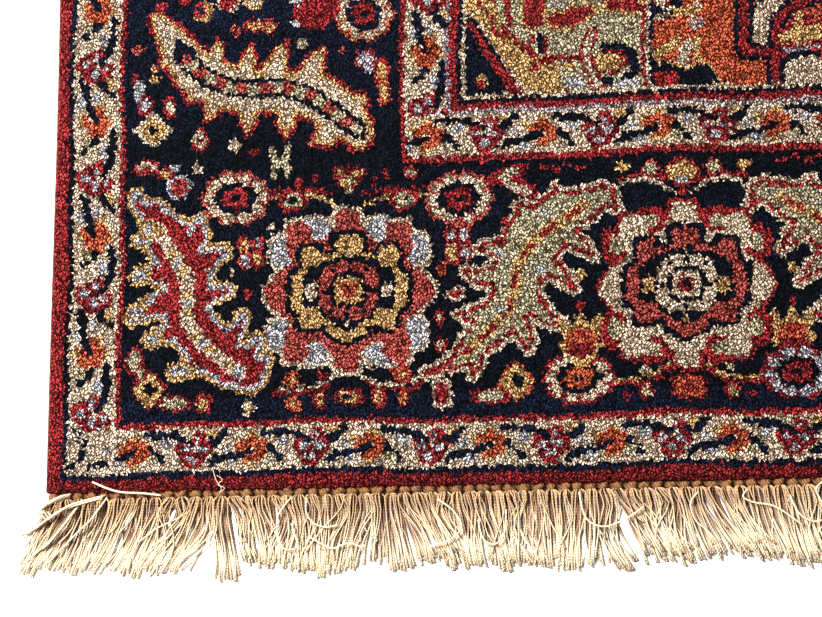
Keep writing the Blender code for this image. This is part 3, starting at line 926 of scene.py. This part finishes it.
class RUG_OT_pile(bpy.types.Operator):
    """Build the cut pile in bands, with one facet for each tuft and its yarn from the chart"""
    bl_idname = "rug.pile"
    bl_label = "Pile"

    def execute(self, context):
        pile = context.scene.rug_pile
        material = wool_pile()
        rng = np.random.default_rng(20)
        shape = (pile.rows + 1, pile.columns + 1)
        stray = rng.uniform(-1, 1, (*shape, 2)) * pile.straying
        lift = rng.uniform(-1, 1, shape) * pile.unevenness
        band_rows = pile.rows // pile.bands
        if band_rows * pile.bands != pile.rows:
            raise RuntimeError("the rows must share out evenly between the bands")
        for band in range(pile.bands):
            self.build_band(pile, band, band_rows, stray, lift, material, rng)
        return {"FINISHED"}

    def build_band(self, pile, band, band_rows, stray, lift, material, rng):
        """One band: a lattice of tufts, walls down to the foot and a closed underside."""
        bm = bmesh.new()
        bmesh.ops.create_grid(bm, x_segments=pile.columns, y_segments=band_rows, size=0.5)
        mesh = bpy.data.meshes.new(f"pile_band_{band + 1}")
        bm.to_mesh(mesh)
        flat = points_of(mesh)
        column = np.rint((flat[:, 0] + 0.5) * pile.columns).astype(int)
        row = np.rint((flat[:, 1] + 0.5) * band_rows).astype(int) + band * band_rows
        move_points(mesh, lattice_points(pile, column, row, stray, lift))
        bm.clear()
        bm.from_mesh(mesh)
        bmesh.ops.triangulate(bm, faces=bm.faces[:], quad_method="SHORT_EDGE")
        rim = [edge for edge in bm.edges if edge.is_boundary]
        walls = bmesh.ops.extrude_edge_only(bm, edges=rim)["geom"]
        for vert in (v for v in walls if isinstance(v, bmesh.types.BMVert)):
            vert.co.z = pile.foot
        lower = [e for e in walls if isinstance(e, bmesh.types.BMEdge) and e.is_boundary]
        bmesh.ops.contextual_create(bm, geom=lower)
        bmesh.ops.recalc_face_normals(bm, faces=bm.faces[:])
        if bm.calc_volume(signed=True) < 0:
            bmesh.ops.reverse_faces(bm, faces=bm.faces[:])
        bm.to_mesh(mesh)
        bm.free()
        mesh.materials.append(material)
        colour_tufts(mesh, rng)
        bake_map(mesh, 2)
        link_piece(mesh, "rug")


def lattice_points(pile, column, row, stray, lift):
    """Where the lattice's points lie: odd rows half a cell along, the rim rolled down."""
    cell = RUG_WIDTH / pile.columns
    across = (column - 0.5 * (row % 2)) * cell
    across = np.where(column == 0, 0.0, np.where(column == pile.columns, RUG_WIDTH, across))
    share = row / pile.rows
    edge = side_edge(share)
    on_side = (column == 0) | (column == pile.columns)
    on_end = (row == 0) | (row == pile.rows)
    x = ((across / RUG_WIDTH - 0.5) * (RUG_WIDTH - 2 * edge)
         + stray[row, column, 0] * np.where(on_side, 0.6, 1))
    y = (share - 0.5) * RUG_LENGTH + stray[row, column, 1] * np.where(on_end, 0.6, 1)
    from_side = RUG_WIDTH / 2 - edge - np.abs(x)
    from_end = RUG_LENGTH / 2 - np.abs(y)
    inside = np.clip(np.minimum(from_side, from_end) / pile.rim_width, 0, 1)
    fall = pile.rim_fall * (1 - np.sqrt(1 - (1 - inside) ** 2))
    swell = 0.35 * MM * np.sin(x * 31 + 0.4) * np.sin(y * 27)
    z = RUG_TOP - fall + swell + lift[row, column] - 0.2 * MM
    return np.column_stack((x, y, z))


def colour_tufts(mesh, rng):
    """Gives all corners of each tuft its one colour."""
    corners, starts, totals = corners_of(mesh)
    middles = np.add.reduceat(corners, starts, axis=0) / totals[:, None]
    across = (RUG_WIDTH / 2 - np.abs(middles[:, 0])) / MM
    along = (RUG_LENGTH / 2 - np.abs(middles[:, 1])) / MM
    colours = np.ones((len(corners), 4), np.float32)
    colours[:, :3] = np.repeat(tuft_colours(across, along, rng), totals, axis=0)
    layer = mesh.color_attributes.new("yarn", "FLOAT_COLOR", "CORNER")
    layer.data.foreach_set("color", colours.ravel())


def cotton_ground():
    """Plain-woven cotton: dull, ribbed along the warp, weft showing between, painted shade in hollows.
    """
    ground = bpy.context.scene.rug_ground
    material, tree, shader = fresh_material("woven_cotton_ground")
    place = node(tree, "ShaderNodeTexCoord")
    # A wave texture's bands lie pi / 10 / scale apart. The wefts lie closer than the ribs
    ribs = node(tree, "ShaderNodeTexWave", [("Vector", place.outputs["Object"])],
                wave_type="BANDS", bands_direction="X", in_Scale=math.pi / 10 / ground.rib,
                in_Distortion=0.6, in_Detail=1.0)
    wefts = node(tree, "ShaderNodeTexWave", [("Vector", place.outputs["Object"])],
                 wave_type="BANDS", bands_direction="Y", in_Scale=math.pi / 10 / (ground.rib * 0.7),
                 in_Distortion=0.8, in_Detail=1.0)
    weave_height = node(tree, "ShaderNodeMath", [(0, ribs.outputs["Fac"]), (1, wefts.outputs["Fac"])],
                        operation="MULTIPLY")
    # Painted shade: the cotton darkens to 0.45 of its colour where the weave lies low
    painted_shade_mix = node(tree, "ShaderNodeMix", [("Factor", weave_height.outputs[0])], data_type="RGBA",
                in_6=(*[c * 0.45 for c in ground.cotton[:3]], 1), in_7=tuple(ground.cotton))
    tree.links.new(painted_shade_mix.outputs[2], shader.inputs["Base Color"])
    bump = node(tree, "ShaderNodeBump", [("Height", weave_height.outputs[0])], in_Strength=0.6,
                in_Distance=0.6 * MM)
    tree.links.new(bump.outputs[0], shader.inputs["Normal"])
    shader.inputs["Roughness"].default_value = 0.9
    return material


class RUG_OT_ground(bpy.types.Operator):
    """Build the woven ground, a thin sheet with oversewn sides that the pile stands on"""
    bl_idname = "rug.ground"
    bl_label = "Ground"

    def execute(self, context):
        ground = context.scene.rug_ground
        bm = bmesh.new()
        bmesh.ops.create_grid(bm, x_segments=8, y_segments=60, size=0.5)
        bmesh.ops.solidify(bm, geom=bm.faces[:], thickness=1.0)
        mesh = bpy.data.meshes.new("ground_weave")
        bm.to_mesh(mesh)
        bm.free()
        points = points_of(mesh)
        top = points[:, 2] > (points[:, 2].min() + points[:, 2].max()) / 2
        share = points[:, 1] + 0.5
        half = RUG_WIDTH / 2 - side_edge(share) + ground.selvedge
        points[:, 0] *= 2 * half
        points[:, 1] *= RUG_LENGTH - 2 * ground.inset
        points[:, 2] = np.where(top, ground.thickness, 0.0)
        move_points(mesh, points)
        bake_map(mesh)
        mesh.materials.append(cotton_ground())
        link_piece(mesh, "rug")
        return {"FINISHED"}


def cotton_string():
    """Plied cotton string: pale tips, tan by the knots, painted shade on its flanks and deep down."""
    fringe = bpy.context.scene.rug_fringe
    material, tree, shader = fresh_material("plied_cotton_string")
    ply = node(tree, "ShaderNodeUVMap", uv_map="ply")
    place = node(tree, "ShaderNodeTexCoord")
    depth = node(tree, "ShaderNodeAttribute", attribute_name="depth")
    crown = node(tree, "ShaderNodeAttribute", attribute_name="crown")
    # Around the string U runs from 0 to 1, and along it V is in millimetres: a twist every 5 mm
    split = node(tree, "ShaderNodeSeparateXYZ", [(0, ply.outputs["UV"])])
    along = node(tree, "ShaderNodeMath", [(0, split.outputs["Y"])], operation="MULTIPLY",
                 in_1=2 * math.pi / 2.5)
    turn = node(tree, "ShaderNodeMath", [(0, split.outputs["X"]), (2, along.outputs[0])],
                operation="MULTIPLY_ADD", in_1=4 * math.pi)
    twist = node(tree, "ShaderNodeMath", [(0, turn.outputs[0])], operation="SINE")
    stain = node(tree, "ShaderNodeTexNoise", [("Vector", place.outputs["Object"])],
                 in_Scale=1 / (14 * MM), in_Detail=2.0)
    lint = node(tree, "ShaderNodeTexNoise", [("Vector", place.outputs["Object"])],
                in_Scale=1 / (1.1 * MM), in_Detail=2.0)
    # Painted shade: little light gets between the strings, so their flanks and the deep ones are browned
    pale = node(tree, "ShaderNodeMath", [(0, crown.outputs["Fac"]), (2, depth.outputs["Fac"])],
                operation="MULTIPLY_ADD", in_1=0.65)
    pale = node(tree, "ShaderNodeMath", [(0, stain.outputs["Fac"]), (2, pale.outputs[0])],
                operation="MULTIPLY_ADD", in_1=0.8)
    pale = node(tree, "ShaderNodeMapRange", [("Value", pale.outputs[0])], in_1=0.88, in_2=1.92)
    # Painted light: the strings take less painted shade towards their cut ends
    cut = node(tree, "ShaderNodeMapRange", [("Value", split.outputs["Y"])], in_1=36.0, in_2=56.0,
               in_4=0.8)
    pale = node(tree, "ShaderNodeMath", [(0, pale.outputs[0]), (1, cut.outputs[0])],
                operation="ADD", use_clamp=True)
    # Tan by the knots, paler towards the tips
    toward_tips = node(tree, "ShaderNodeMapRange", [("Value", split.outputs["Y"])], in_1=4.0, in_2=40.0)
    unshaded = node(tree, "ShaderNodeMix", [("Factor", toward_tips.outputs[0])], data_type="RGBA",
                 in_6=tuple(fringe.root_colour), in_7=tuple(fringe.string_colour))
    painted_shade_mix = node(tree, "ShaderNodeMix", [("Factor", pale.outputs[0]), (7, unshaded.outputs[2])],
                data_type="RGBA", in_6=tuple(fringe.shaded_colour))
    # Painted shade in the grooves of the twist; lint varies the tone
    groove = node(tree, "ShaderNodeMapRange", [("Value", twist.outputs[0])], in_1=-1.0, in_2=0.3,
                  in_3=0.84, in_4=1.0)
    fuzz = node(tree, "ShaderNodeMapRange", [("Value", lint.outputs["Fac"])], in_1=0.3, in_2=0.7,
                in_3=0.82, in_4=1.1)
    shade = node(tree, "ShaderNodeMath", [(0, groove.outputs[0]), (1, fuzz.outputs[0])],
                 operation="MULTIPLY")
    colour = node(tree, "ShaderNodeVectorMath", [(0, painted_shade_mix.outputs[2]), ("Scale", shade.outputs[0])],
                  operation="SCALE")
    tree.links.new(colour.outputs[0], shader.inputs["Base Color"])
    bump = node(tree, "ShaderNodeBump", [("Height", twist.outputs[0])], in_Strength=0.5,
                in_Distance=0.25 * MM)
    tree.links.new(bump.outputs[0], shader.inputs["Normal"])
    shader.inputs["Roughness"].default_value = 0.8
    shader.inputs["Sheen Weight"].default_value = 0.25
    return material


def cotton_knot():
    """The same cotton pulled tight in the knots: brown, its wraps in relief with painted shade between.
    """
    fringe = bpy.context.scene.rug_fringe
    material, tree, shader = fresh_material("knotted_cotton")
    place = node(tree, "ShaderNodeTexCoord")
    wraps = node(tree, "ShaderNodeTexWave", [("Vector", place.outputs["Object"])],
                 wave_type="BANDS", bands_direction="DIAGONAL", in_Scale=math.pi / 10 / (1.9 * MM),
                 in_Distortion=2.5, in_Detail=2.0)
    stain = node(tree, "ShaderNodeTexNoise", [("Vector", place.outputs["Object"])],
                 in_Scale=1 / (7 * MM), in_Detail=2.0)
    both = node(tree, "ShaderNodeMath", [(0, wraps.outputs["Fac"]), (1, stain.outputs["Fac"])],
                operation="MULTIPLY")
    # Painted shade in the grooves between the wraps, with stains
    shade = node(tree, "ShaderNodeMapRange", [("Value", both.outputs[0])], in_1=0.0, in_2=0.5,
                 in_3=0.35, in_4=1.35)
    colour = node(tree, "ShaderNodeVectorMath", [("Scale", shade.outputs[0])], operation="SCALE",
                  in_0=fringe.knot_colour[:3])
    tree.links.new(colour.outputs[0], shader.inputs["Base Color"])
    bump = node(tree, "ShaderNodeBump", [("Height", wraps.outputs["Fac"])], in_Strength=0.7,
                in_Distance=0.5 * MM)
    tree.links.new(bump.outputs[0], shader.inputs["Normal"])
    shader.inputs["Roughness"].default_value = 0.88
    return material


def prism(sides, steps):
    """An upright prism of unit radius and height, its sides cut into steps, with its bake map."""
    bm = bmesh.new()
    bm.loops.layers.uv.new("OFBake")
    bmesh.ops.create_cone(bm, cap_ends=True, segments=sides, radius1=1, radius2=1, depth=1,
                          calc_uvs=True)
    upright = [e for e in bm.edges if abs(e.verts[0].co.z - e.verts[1].co.z) > 0.5]
    bmesh.ops.subdivide_edges(bm, edges=upright, cuts=steps - 1)
    return bm


def copies(bm, name, count):
    """A mesh of so many copies of one shape, one after the other, by an Array modifier."""
    mesh = bpy.data.meshes.new(name)
    bm.to_mesh(mesh)
    bm.free()
    maker = bpy.data.objects.new(name, mesh)
    bpy.context.scene.collection.objects.link(maker)
    array = maker.modifiers.new("copies", "ARRAY")
    array.count = count
    array.use_relative_offset = False
    array.use_constant_offset = True
    array.constant_offset_displace = (0, 0, 0)
    depsgraph = bpy.context.evaluated_depsgraph_get()
    joined = bpy.data.meshes.new_from_object(maker.evaluated_get(depsgraph))
    bpy.data.objects.remove(maker)
    bpy.data.meshes.remove(mesh)
    joined.name = name
    return joined


def lay_tubes(name, sides, steps, count, route, radius, gather=1.0, start=0.0):
    """Tubes along routes: route and radius take each point's share of its tube's length.

    A gather over 1 draws the steps together towards the start.
    """
    mesh = copies(prism(sides, steps), name, count)
    points = points_of(mesh).reshape(count, -1, 3)
    share = np.clip(points[:, :, 2] + 0.5, 0, 1) ** gather
    angle = np.arctan2(points[:, :, 1], points[:, :, 0])
    ahead = route(share + 0.01) - route(share - 0.01)
    side = np.cross(ahead, (0.0, 0.0, 1.0))
    side /= np.linalg.norm(side, axis=-1, keepdims=True)
    up = np.cross(side, ahead)
    up /= np.linalg.norm(up, axis=-1, keepdims=True)
    thick = radius(share)
    laid = (route(share) + side * (np.cos(angle) * thick)[..., None]
            + up * (np.sin(angle) * thick)[..., None])
    laid[..., 2] = np.maximum(laid[..., 2], 0.05 * MM)
    move_points(mesh, laid.reshape(-1, 3))
    # Crown is 1 on a tube's top and 0 on its lower edges; the string material paints shade on the low
    # side
    crown = np.clip((np.sin(angle) + 0.5) / 1.5, 0, 1)
    mesh.attributes.new("crown", "FLOAT", "POINT").data.foreach_set(
        "value", crown.astype(np.float32).ravel())
    legs = np.diff(route(np.linspace(0, 1, 9)[None].repeat(count, 0)), axis=1)
    map_tubes(mesh, count, np.linalg.norm(legs, axis=-1).sum(1) / MM, gather, start)
    for polygon in mesh.polygons:
        polygon.use_smooth = True
    return mesh


def map_tubes(mesh, count, lengths, gather, start):
    """Adds the ply map, V in mm along each tube from start, and lays the tubes apart for the bake."""
    bake = mesh.uv_layers["OFBake"]
    flat = np.empty(len(mesh.loops) * 2, np.float32)
    bake.data.foreach_get("uv", flat)
    uv = flat.reshape(count, -1, 2)
    # The cone's own map holds its side in the upper half and its ends below
    on_side = uv[..., 1:] > 0.495
    ply = uv * (1, 2) - (0, 1)
    ply = np.where(on_side, ply, (0.5, 0.0))
    ply[..., 1] = start + np.clip(ply[..., 1], 0, 1) ** gather * lengths[:, None]
    columns = math.ceil(math.sqrt(count * 14))
    rows = math.ceil(count / columns)
    cell = np.arange(count)
    corner = np.stack((cell % columns, cell // columns), -1)[:, None]
    inside = np.where(on_side, uv * (1, 1.84) - (0, 0.84), uv * (1, 0.14))
    packed = (corner + 0.06 + 0.88 * inside) / (columns, rows)
    bake.data.foreach_set("uv", packed.astype(np.float32).ravel())
    mesh.uv_layers.new(name="ply").data.foreach_set("uv", ply.astype(np.float32).ravel())


def set_depth(mesh, depth):
    """Marks each tube with how high it lies, 0 deep in the fringe and 1 on top, for the painted shade.
    """
    points = np.repeat(depth, len(mesh.vertices) // len(depth))
    mesh.attributes.new("depth", "FLOAT", "POINT").data.foreach_set(
        "value", points.astype(np.float32))


# How far the tips lie to the right of their knots: mm from the corner, then mm of lean
LEANS = ((0, -34), (40, -18), (70, -22), (100, -27), (146, -20), (150, 12), (185, 6), (240, 1),
         (268, -4), (285, -18), (291, 8), (335, 14), (385, 5), (430, 9), (467, -8), (475, 22),
         (510, 17), (540, 16), (566, 31), (600, 17), (640, 14), (760, 10), (850, 0))


def tip_lean(x):
    """The lean of the tassels' tips, the right half of an end as the left in a mirror."""
    from_corner, lean = np.array(LEANS, float).T * MM
    return -np.sign(x) * np.interp(RUG_WIDTH / 2 - np.abs(x), from_corner, lean)


def tassel_places(fringe):
    """The x of each tassel's knot."""
    return RUG_WIDTH * ((np.arange(fringe.tassels) + 0.5) / fringe.tassels - 0.5)


def lay_strings(fringe, rng, name):
    """The strings of one end, in tassels that lie together in locks."""
    count = fringe.tassels * fringe.strings
    knots = tassel_places(fringe)
    # Three to eight neighbouring tassels lie together, their tips drawn a little to their middle
    ends = np.cumsum(rng.integers(3, 9, fringe.tassels))
    lock = np.searchsorted(ends, np.arange(fringe.tassels), side="right")
    middles = np.array([knots[lock == i].mean() for i in range(lock[-1] + 1)])
    lean = (rng.normal(0, 3.5 * MM, len(middles))[lock] + 0.24 * (middles[lock] - knots)
            + rng.normal(0, 1.5 * MM, fringe.tassels))
    # As in the CAD, a tassel is up to a tenth shorter than the longest
    cut = 0.5 + 0.5 * np.cos(2.4 * np.arange(fringe.tassels))
    own_length = fringe.length * (0.90 + 0.10 * cut)
    own_length *= 1 + rng.normal(0, 0.035, len(middles))[lock]
    tassel = np.repeat(np.arange(fringe.tassels), fringe.strings)

    def own(low, high):
        return rng.uniform(low, high, count)[:, None]

    place = np.tile(np.linspace(-1, 1, fringe.strings), fringe.tassels)[:, None]
    level = rng.permuted(np.tile(np.arange(fringe.strings) % 3, (fringe.tassels, 1)), axis=1)
    level = level.reshape(-1, 1).astype(float)
    stray = rng.random((count, 1)) < 0.07
    level[stray] = 3.2
    # The lowest strings keep to themselves and lie evenly, the rest follow their lock
    held = np.where(level == 0, 0.25, 1.0)
    root = place * np.where(level == 0, 5.0, 3.2) * MM
    tip = (place * 6.8 + rng.normal(0, 2.0, (count, 1))) * MM + lean[tassel][:, None] * held
    tip += tip_lean(knots)[tassel][:, None]
    tip += stray * rng.normal(0, 9 * MM, (count, 1))
    # A stray string that is cut short leans by so much less
    short = np.where(stray, own(0.55, 1.0), 1)
    tip = root + (tip - root) * short
    furthest = RUG_WIDTH / 2 + 24 * MM
    tip = np.clip(knots[tassel][:, None] + tip, -furthest, furthest) - knots[tassel][:, None]
    length = own_length[tassel][:, None] * own(0.90, 1.03) * short
    run = np.sqrt(np.maximum(length ** 2 - (tip - root) ** 2, (0.35 * length) ** 2))
    wave = (rng.normal(0, 2.8 * MM, fringe.tassels)[tassel][:, None]
            + rng.normal(0, 1.4 * MM, (count, 1)))
    turn = rng.uniform(0, 2 * math.pi, fringe.tassels)[tassel][:, None] + own(-0.5, 0.5)
    half = fringe.string_width / 2 * own(0.8, 1.15) * np.where(level == 0, 1.5, 1)

    def route(share):
        free = np.clip(share * 4, 0, 1)
        x = knots[tassel][:, None] + root + (tip - root) * np.clip(share, 0, 1.1) ** 1.35
        # A head is narrow under its knot, then as round and wide as its neighbours let it be
        x += (place * held * 3.2 * MM * np.sin(math.pi / 2 * np.clip(share * 18, 0, 1))
              * np.clip(1.4 - share, 0, 1))
        x += wave * held * free * np.sin(5.0 * share + turn)
        y = RUG_LOW.y - fringe.knot_length * 0.66 - run * share
        stack = level * fringe.string_width * (0.95 - 0.35 * share)
        arch = (1.0 + 2.0 * np.minimum(level, 2)) * MM * np.exp(-((share - 0.06) / 0.10) ** 2)
        return np.stack((x, y, half + stack + arch + 0 * x), axis=-1)

    def radius(share):
        return half * np.where(share > 0.95, 1.7, 1.0)

    mesh = lay_tubes(name, 3, 8, count, route, radius, gather=1.5)
    set_depth(mesh, np.clip(level / 2.1 + own(-0.3, 0.3), 0, 1))
    return mesh


def lay_knots(fringe, rng, name):
    """Two lumps a tassel: the knot that is tucked under the pile, and the wrap across it."""
    count = fringe.tassels * 2
    wrap = (np.arange(count) % 2)[:, None]
    tilt = np.where(wrap, rng.choice((-1, 1), (count, 1)) * rng.uniform(0.6, 1.3, (count, 1)),
                    rng.normal(0, 0.3, (count, 1)))
    knots = np.repeat(tassel_places(fringe), 2)[:, None] + rng.normal(0, 0.9 * MM, (count, 1))
    out_by = rng.normal(0, 0.8 * MM, (count, 1))
    size = np.where(wrap, 0.55, 0.92) * rng.uniform(0.82, 1.15, (count, 1))
    long = fringe.knot_length * rng.uniform(0.85, 1.1, (count, 1))
    half = fringe.knot_length * 0.55 * size

    def route(share):
        out = (share - 0.5) * long
        x = knots + out * np.sin(tilt)
        y = RUG_LOW.y - fringe.knot_length * 0.36 + out_by - out * np.cos(tilt)
        z = fringe.knot_length * 0.30 + wrap * 2.9 * MM * (1 - (2 * share - 1) ** 2)
        return np.stack((x, y, z + 0 * x), axis=-1)

    def radius(share):
        return half * (0.30 + 0.70 * np.sqrt(np.clip(1 - (2 * share - 1) ** 2, 0, 1)))

    return lay_tubes(name, 8, 4, count, route, radius)


# Loose threads of the near end: how many strings, their width, then five points they run
# through. All in mm: from the left edge, from the end (above 0 is over the pile), above the floor
LOOSE_THREADS = (
    (1, 1.8, (41, 8.5, 10.8), (56, 2, 12), (68, -1, 11.5), (84, -2, 10.5), (101, -4, 9)),
    (1, 0.6, (146, 19, 10.8), (148, 12, 12), (150, 7, 11.5), (154, 1, 12), (152, -3, 9)),
    (1, 0.5, (150, 12, 11), (155, 8, 12.5), (151, 4, 11.5), (157, 1, 12), (153, -2, 10)),
    (4, 1.6, (50, -5, 8), (24, -11, 10), (6, -20, 9), (-8, -29, 6), (-22, -35, 2.5)),
    (3, 1.6, (30, -8, 6), (18, -26, 9), (4, -42, 7), (-6, -49, 4), (-16, -57, 2.5)),
    (6, 1.6, (19, -3, 4), (12, -5, 9), (3, -9, 10), (-4, -15, 8), (2, -21, 3.5)),
    (2, 1.5, (52, -6, 7), (40, -24, 10), (30, -33, 9), (12, -50, 6), (2, -60, 3)),
    (1, 1.6, (460, -8, 8), (465, -30, 9), (480, -38, 9), (498, -32, 8), (514, -22, 8)),
    (1, 1.5, (636, -14, 8), (643, -30, 9), (656, -37, 9), (670, -32, 8), (684, -24, 8)),
    (1, 1.5, (664, -24, 8), (658, -10, 9), (667, -3, 10), (682, -5, 9), (694, -14, 7)),
    (1, 1.5, (374, -30, 8), (378, -46, 8), (388, -51, 8), (396, -42, 8), (398, -22, 8)),
    (1, 1.4, (214, -8, 8), (202, -26, 9), (206, -50, 8), (219, -50, 8), (214, -30, 7)),
    (1, 1.4, (228, -6, 8), (227, -20, 9), (233, -30, 8), (244, -34, 8), (254, -32, 7)),
    (1, 1.5, (560, -10, 8), (553, -20, 9), (557, -34, 8), (566, -42, 7), (574, -52, 6)),
    (1, 1.5, (602, -8, 8), (597, -15, 10), (606, -20, 9), (624, -24, 8), (646, -40, 7)),
    (1, 1.5, (340, -12, 8), (353, -22, 9), (360, -36, 8), (349, -47, 8), (332, -52, 7)),
    (1, 1.5, (276, -52, 8), (263, -48, 9), (250, -52, 8), (240, -48, 8), (230, -42, 7)),
)


def lay_threads(name):
    """The loose threads, singly or a few twisted together, as one piece."""
    rows, turns = [], []
    for strings, width, *guides in LOOSE_THREADS:
        rows += [(width, guides)] * strings
        turns += [(2 * math.pi * i / strings, 0.55 * width * strings ** 0.5 * (strings > 1))
                  for i in range(strings)]
    widths = np.array([row[0] for row in rows])[:, None] * MM
    guides = np.array([row[1] for row in rows], float) * MM + (-RUG_WIDTH / 2, RUG_LOW.y, 0)
    guides = np.concatenate((guides[:, :1], guides, guides[:, -1:]), axis=1)
    turns = np.array(turns)[:, :, None]

    def route(share):
        # Between two points the curve leans on the points either side as well
        leg = np.clip(np.floor(share * 4).astype(int), 0, 3)
        t = (share * 4 - leg)[..., None]
        p, q, r, s = (np.take_along_axis(guides, (leg + k)[..., None], axis=1) for k in range(4))
        spot = (2 * q + (r - p) * t + (2 * p - 5 * q + 4 * r - s) * t ** 2
                + (3 * q - p - 3 * r + s) * t ** 3) / 2
        turn = turns[:, 0] + 5 * share
        aside = np.stack((np.cos(turn), np.cos(turn), np.sin(turn)), axis=-1)
        return spot + aside * (turns[:, 1] * MM)[..., None]

    # A loose thread is coloured as a string's tip all along, with little painted shade
    mesh = lay_tubes(name, 5, 22, len(rows), route, lambda share: widths / 2 + 0 * share, start=40.0)
    set_depth(mesh, np.where(turns[:, 1, 0] > 0, 0.6, 0.7))
    return mesh


def lay_band(fringe, name):
    """The narrow woven band under the knots, between the pile and the tassels."""
    bm = bmesh.new()
    bmesh.ops.create_grid(bm, x_segments=fringe.tassels * 2, y_segments=1, size=0.5)
    bmesh.ops.solidify(bm, geom=bm.faces[:], thickness=1.0)
    mesh = bpy.data.meshes.new(name)
    bm.to_mesh(mesh)
    bm.free()
    points = points_of(mesh)
    top = points[:, 2] > points[:, 2].mean()
    outer = points[:, 1] < 0
    points[:, 0] *= RUG_WIDTH - 2 * MM
    wavy = 0.4 * MM * np.sin(points[:, 0] * 900)
    points[:, 1] = RUG_LOW.y + np.where(outer, -fringe.band_width + wavy, -0.3 * MM)
    points[:, 2] = np.where(top, np.where(outer, 2.6, 3.4) * MM, 0)
    move_points(mesh, points)
    bake_map(mesh)
    return mesh


class RUG_OT_fringes(bpy.types.Operator):
    """Build the fringe at each end: band, knots, plied strings, and at the near end loose threads"""
    bl_idname = "rug.fringes"
    bl_label = "Fringes"

    def execute(self, context):
        fringe = context.scene.rug_fringe
        string, knot = cotton_string(), cotton_knot()
        for end, seed in (("near", 30), ("far", 31)):
            rng = np.random.default_rng(seed)
            # The band is coloured as the knots, darker than its cotton, as painted shade under them
            parts = [(lay_strings(fringe, rng, f"fringe_{end}_strings"), string),
                     (lay_knots(fringe, rng, f"fringe_{end}_knots"), knot),
                     (lay_band(fringe, f"fringe_{end}_band"), knot)]
            if end == "near":
                parts.append((lay_threads(f"fringe_{end}_threads"), string))
            for mesh, material in parts:
                if end == "far":
                    mesh.transform(Matrix.Rotation(math.pi, 4, "Z"))
                mesh.materials.append(material)
                link_piece(mesh, f"fringe_{end}")
        return {"FINISHED"}


# The camera stands where the rug's corner, its guards and its rosettes fall as in the photo
CAMERA_PLACE = (0.4680, -0.1706, 1.6962)  # metres from the near left corner of the pile's top
CAMERA_TURN = (10.817, 4.926, -1.618)  # degrees about X, then Y, then Z
WINDOW_PLACE = (-2.2, -0.2, 2.4)
WINDOW_AIM = (-0.45, -0.95, 0)


class RUG_OT_stage(bpy.types.Operator):
    """Set up the plain pale floor, the soft light and the camera at the photo's angle"""
    bl_idname = "rug.stage"
    bl_label = "Stage"

    def execute(self, context):
        studio = context.scene.rug_studio
        scene = context.scene
        bm = bmesh.new()
        bmesh.ops.create_grid(bm, x_segments=1, y_segments=1, size=9.0)
        mesh = bpy.data.meshes.new("floor")
        bm.to_mesh(mesh)
        bm.free()
        material, _, shader = fresh_material("pale_floor")
        shader.inputs["Base Color"].default_value = tuple(studio.floor_colour)
        shader.inputs["Roughness"].default_value = 0.8
        mesh.materials.append(material)
        floor = bpy.data.objects.new("floor", mesh)
        scene.collection.objects.link(floor)

        world = bpy.data.worlds.new("studio")
        world.use_nodes = True
        room = world.node_tree.nodes["Background"]
        room.inputs["Color"].default_value = (1, 1, 1, 1)
        room.inputs["Strength"].default_value = studio.fill_strength
        scene.world = world

        key = bpy.data.lights.new("window", "AREA")
        key.shape, key.size, key.size_y = "RECTANGLE", 1.6, 1.2
        key.energy = studio.key_power
        lamp = bpy.data.objects.new("window", key)
        lamp.location = WINDOW_PLACE
        lamp.rotation_mode = "QUATERNION"
        lamp.rotation_quaternion = (Vector(WINDOW_AIM) - lamp.location).to_track_quat("-Z", "Y")
        scene.collection.objects.link(lamp)

        eye = bpy.data.cameras.new("camera")
        eye.lens = studio.lens
        eye.clip_start, eye.clip_end = 0.02, 60
        camera = bpy.data.objects.new("camera", eye)
        turn = Matrix.Identity(4)
        for degrees, axis in zip(CAMERA_TURN, "XYZ"):
            turn = turn @ Matrix.Rotation(math.radians(degrees), 4, axis)
        corner = (RUG_LOW.x, RUG_LOW.y, RUG_TOP)
        place = [at + away for at, away in zip(corner, CAMERA_PLACE)]
        camera.matrix_world = Matrix.Translation(place) @ turn
        scene.collection.objects.link(camera)
        scene.camera = camera
        scene.view_settings.view_transform = "Standard"
        return {"FINISHED"}


class RUG_PT_sidebar(bpy.types.Panel):
    """Lists the rug's sizes, its yarns and the buttons that build it"""
    bl_idname = "RUG_PT_sidebar"
    bl_label = "Fringed Pile Rug"
    bl_space_type = "VIEW_3D"
    bl_region_type = "UI"
    bl_category = "Rug"

    def draw(self, context):
        for name, operators in SECTIONS:
            box = self.layout.box()
            group = getattr(context.scene, name)
            for key in group.bl_rna.properties.keys():
                if key not in {"rna_type", "name"}:
                    box.prop(group, key)
            for operator in operators:
                box.operator(operator)


GROUPS = {"rug_yarns": RugYarns, "rug_pile": RugPile, "rug_ground": RugGround,
          "rug_fringe": RugFringe, "rug_studio": RugStudio}
# The panel shows each group of settings with the button of the operator that reads it
SECTIONS = (("rug_yarns", ()), ("rug_pile", ("rug.pile",)), ("rug_ground", ("rug.ground",)),
            ("rug_fringe", ("rug.fringes",)), ("rug_studio", ("rug.stage",)))
CLASSES = (*GROUPS.values(), RUG_OT_stage, RUG_OT_ground, RUG_OT_pile, RUG_OT_fringes, RUG_PT_sidebar)


def register():
    for made in CLASSES:
        bpy.utils.register_class(made)
    for name, group in GROUPS.items():
        setattr(bpy.types.Scene, name, PointerProperty(type=group))


def unregister():
    for name in GROUPS:
        delattr(bpy.types.Scene, name)
    for made in reversed(CLASSES):
        bpy.utils.unregister_class(made)


def main():
    register()
    bpy.ops.rug.stage()
    bpy.ops.rug.ground()
    bpy.ops.rug.pile()
    bpy.ops.rug.fringes()


if __name__ == "__main__":
    main()
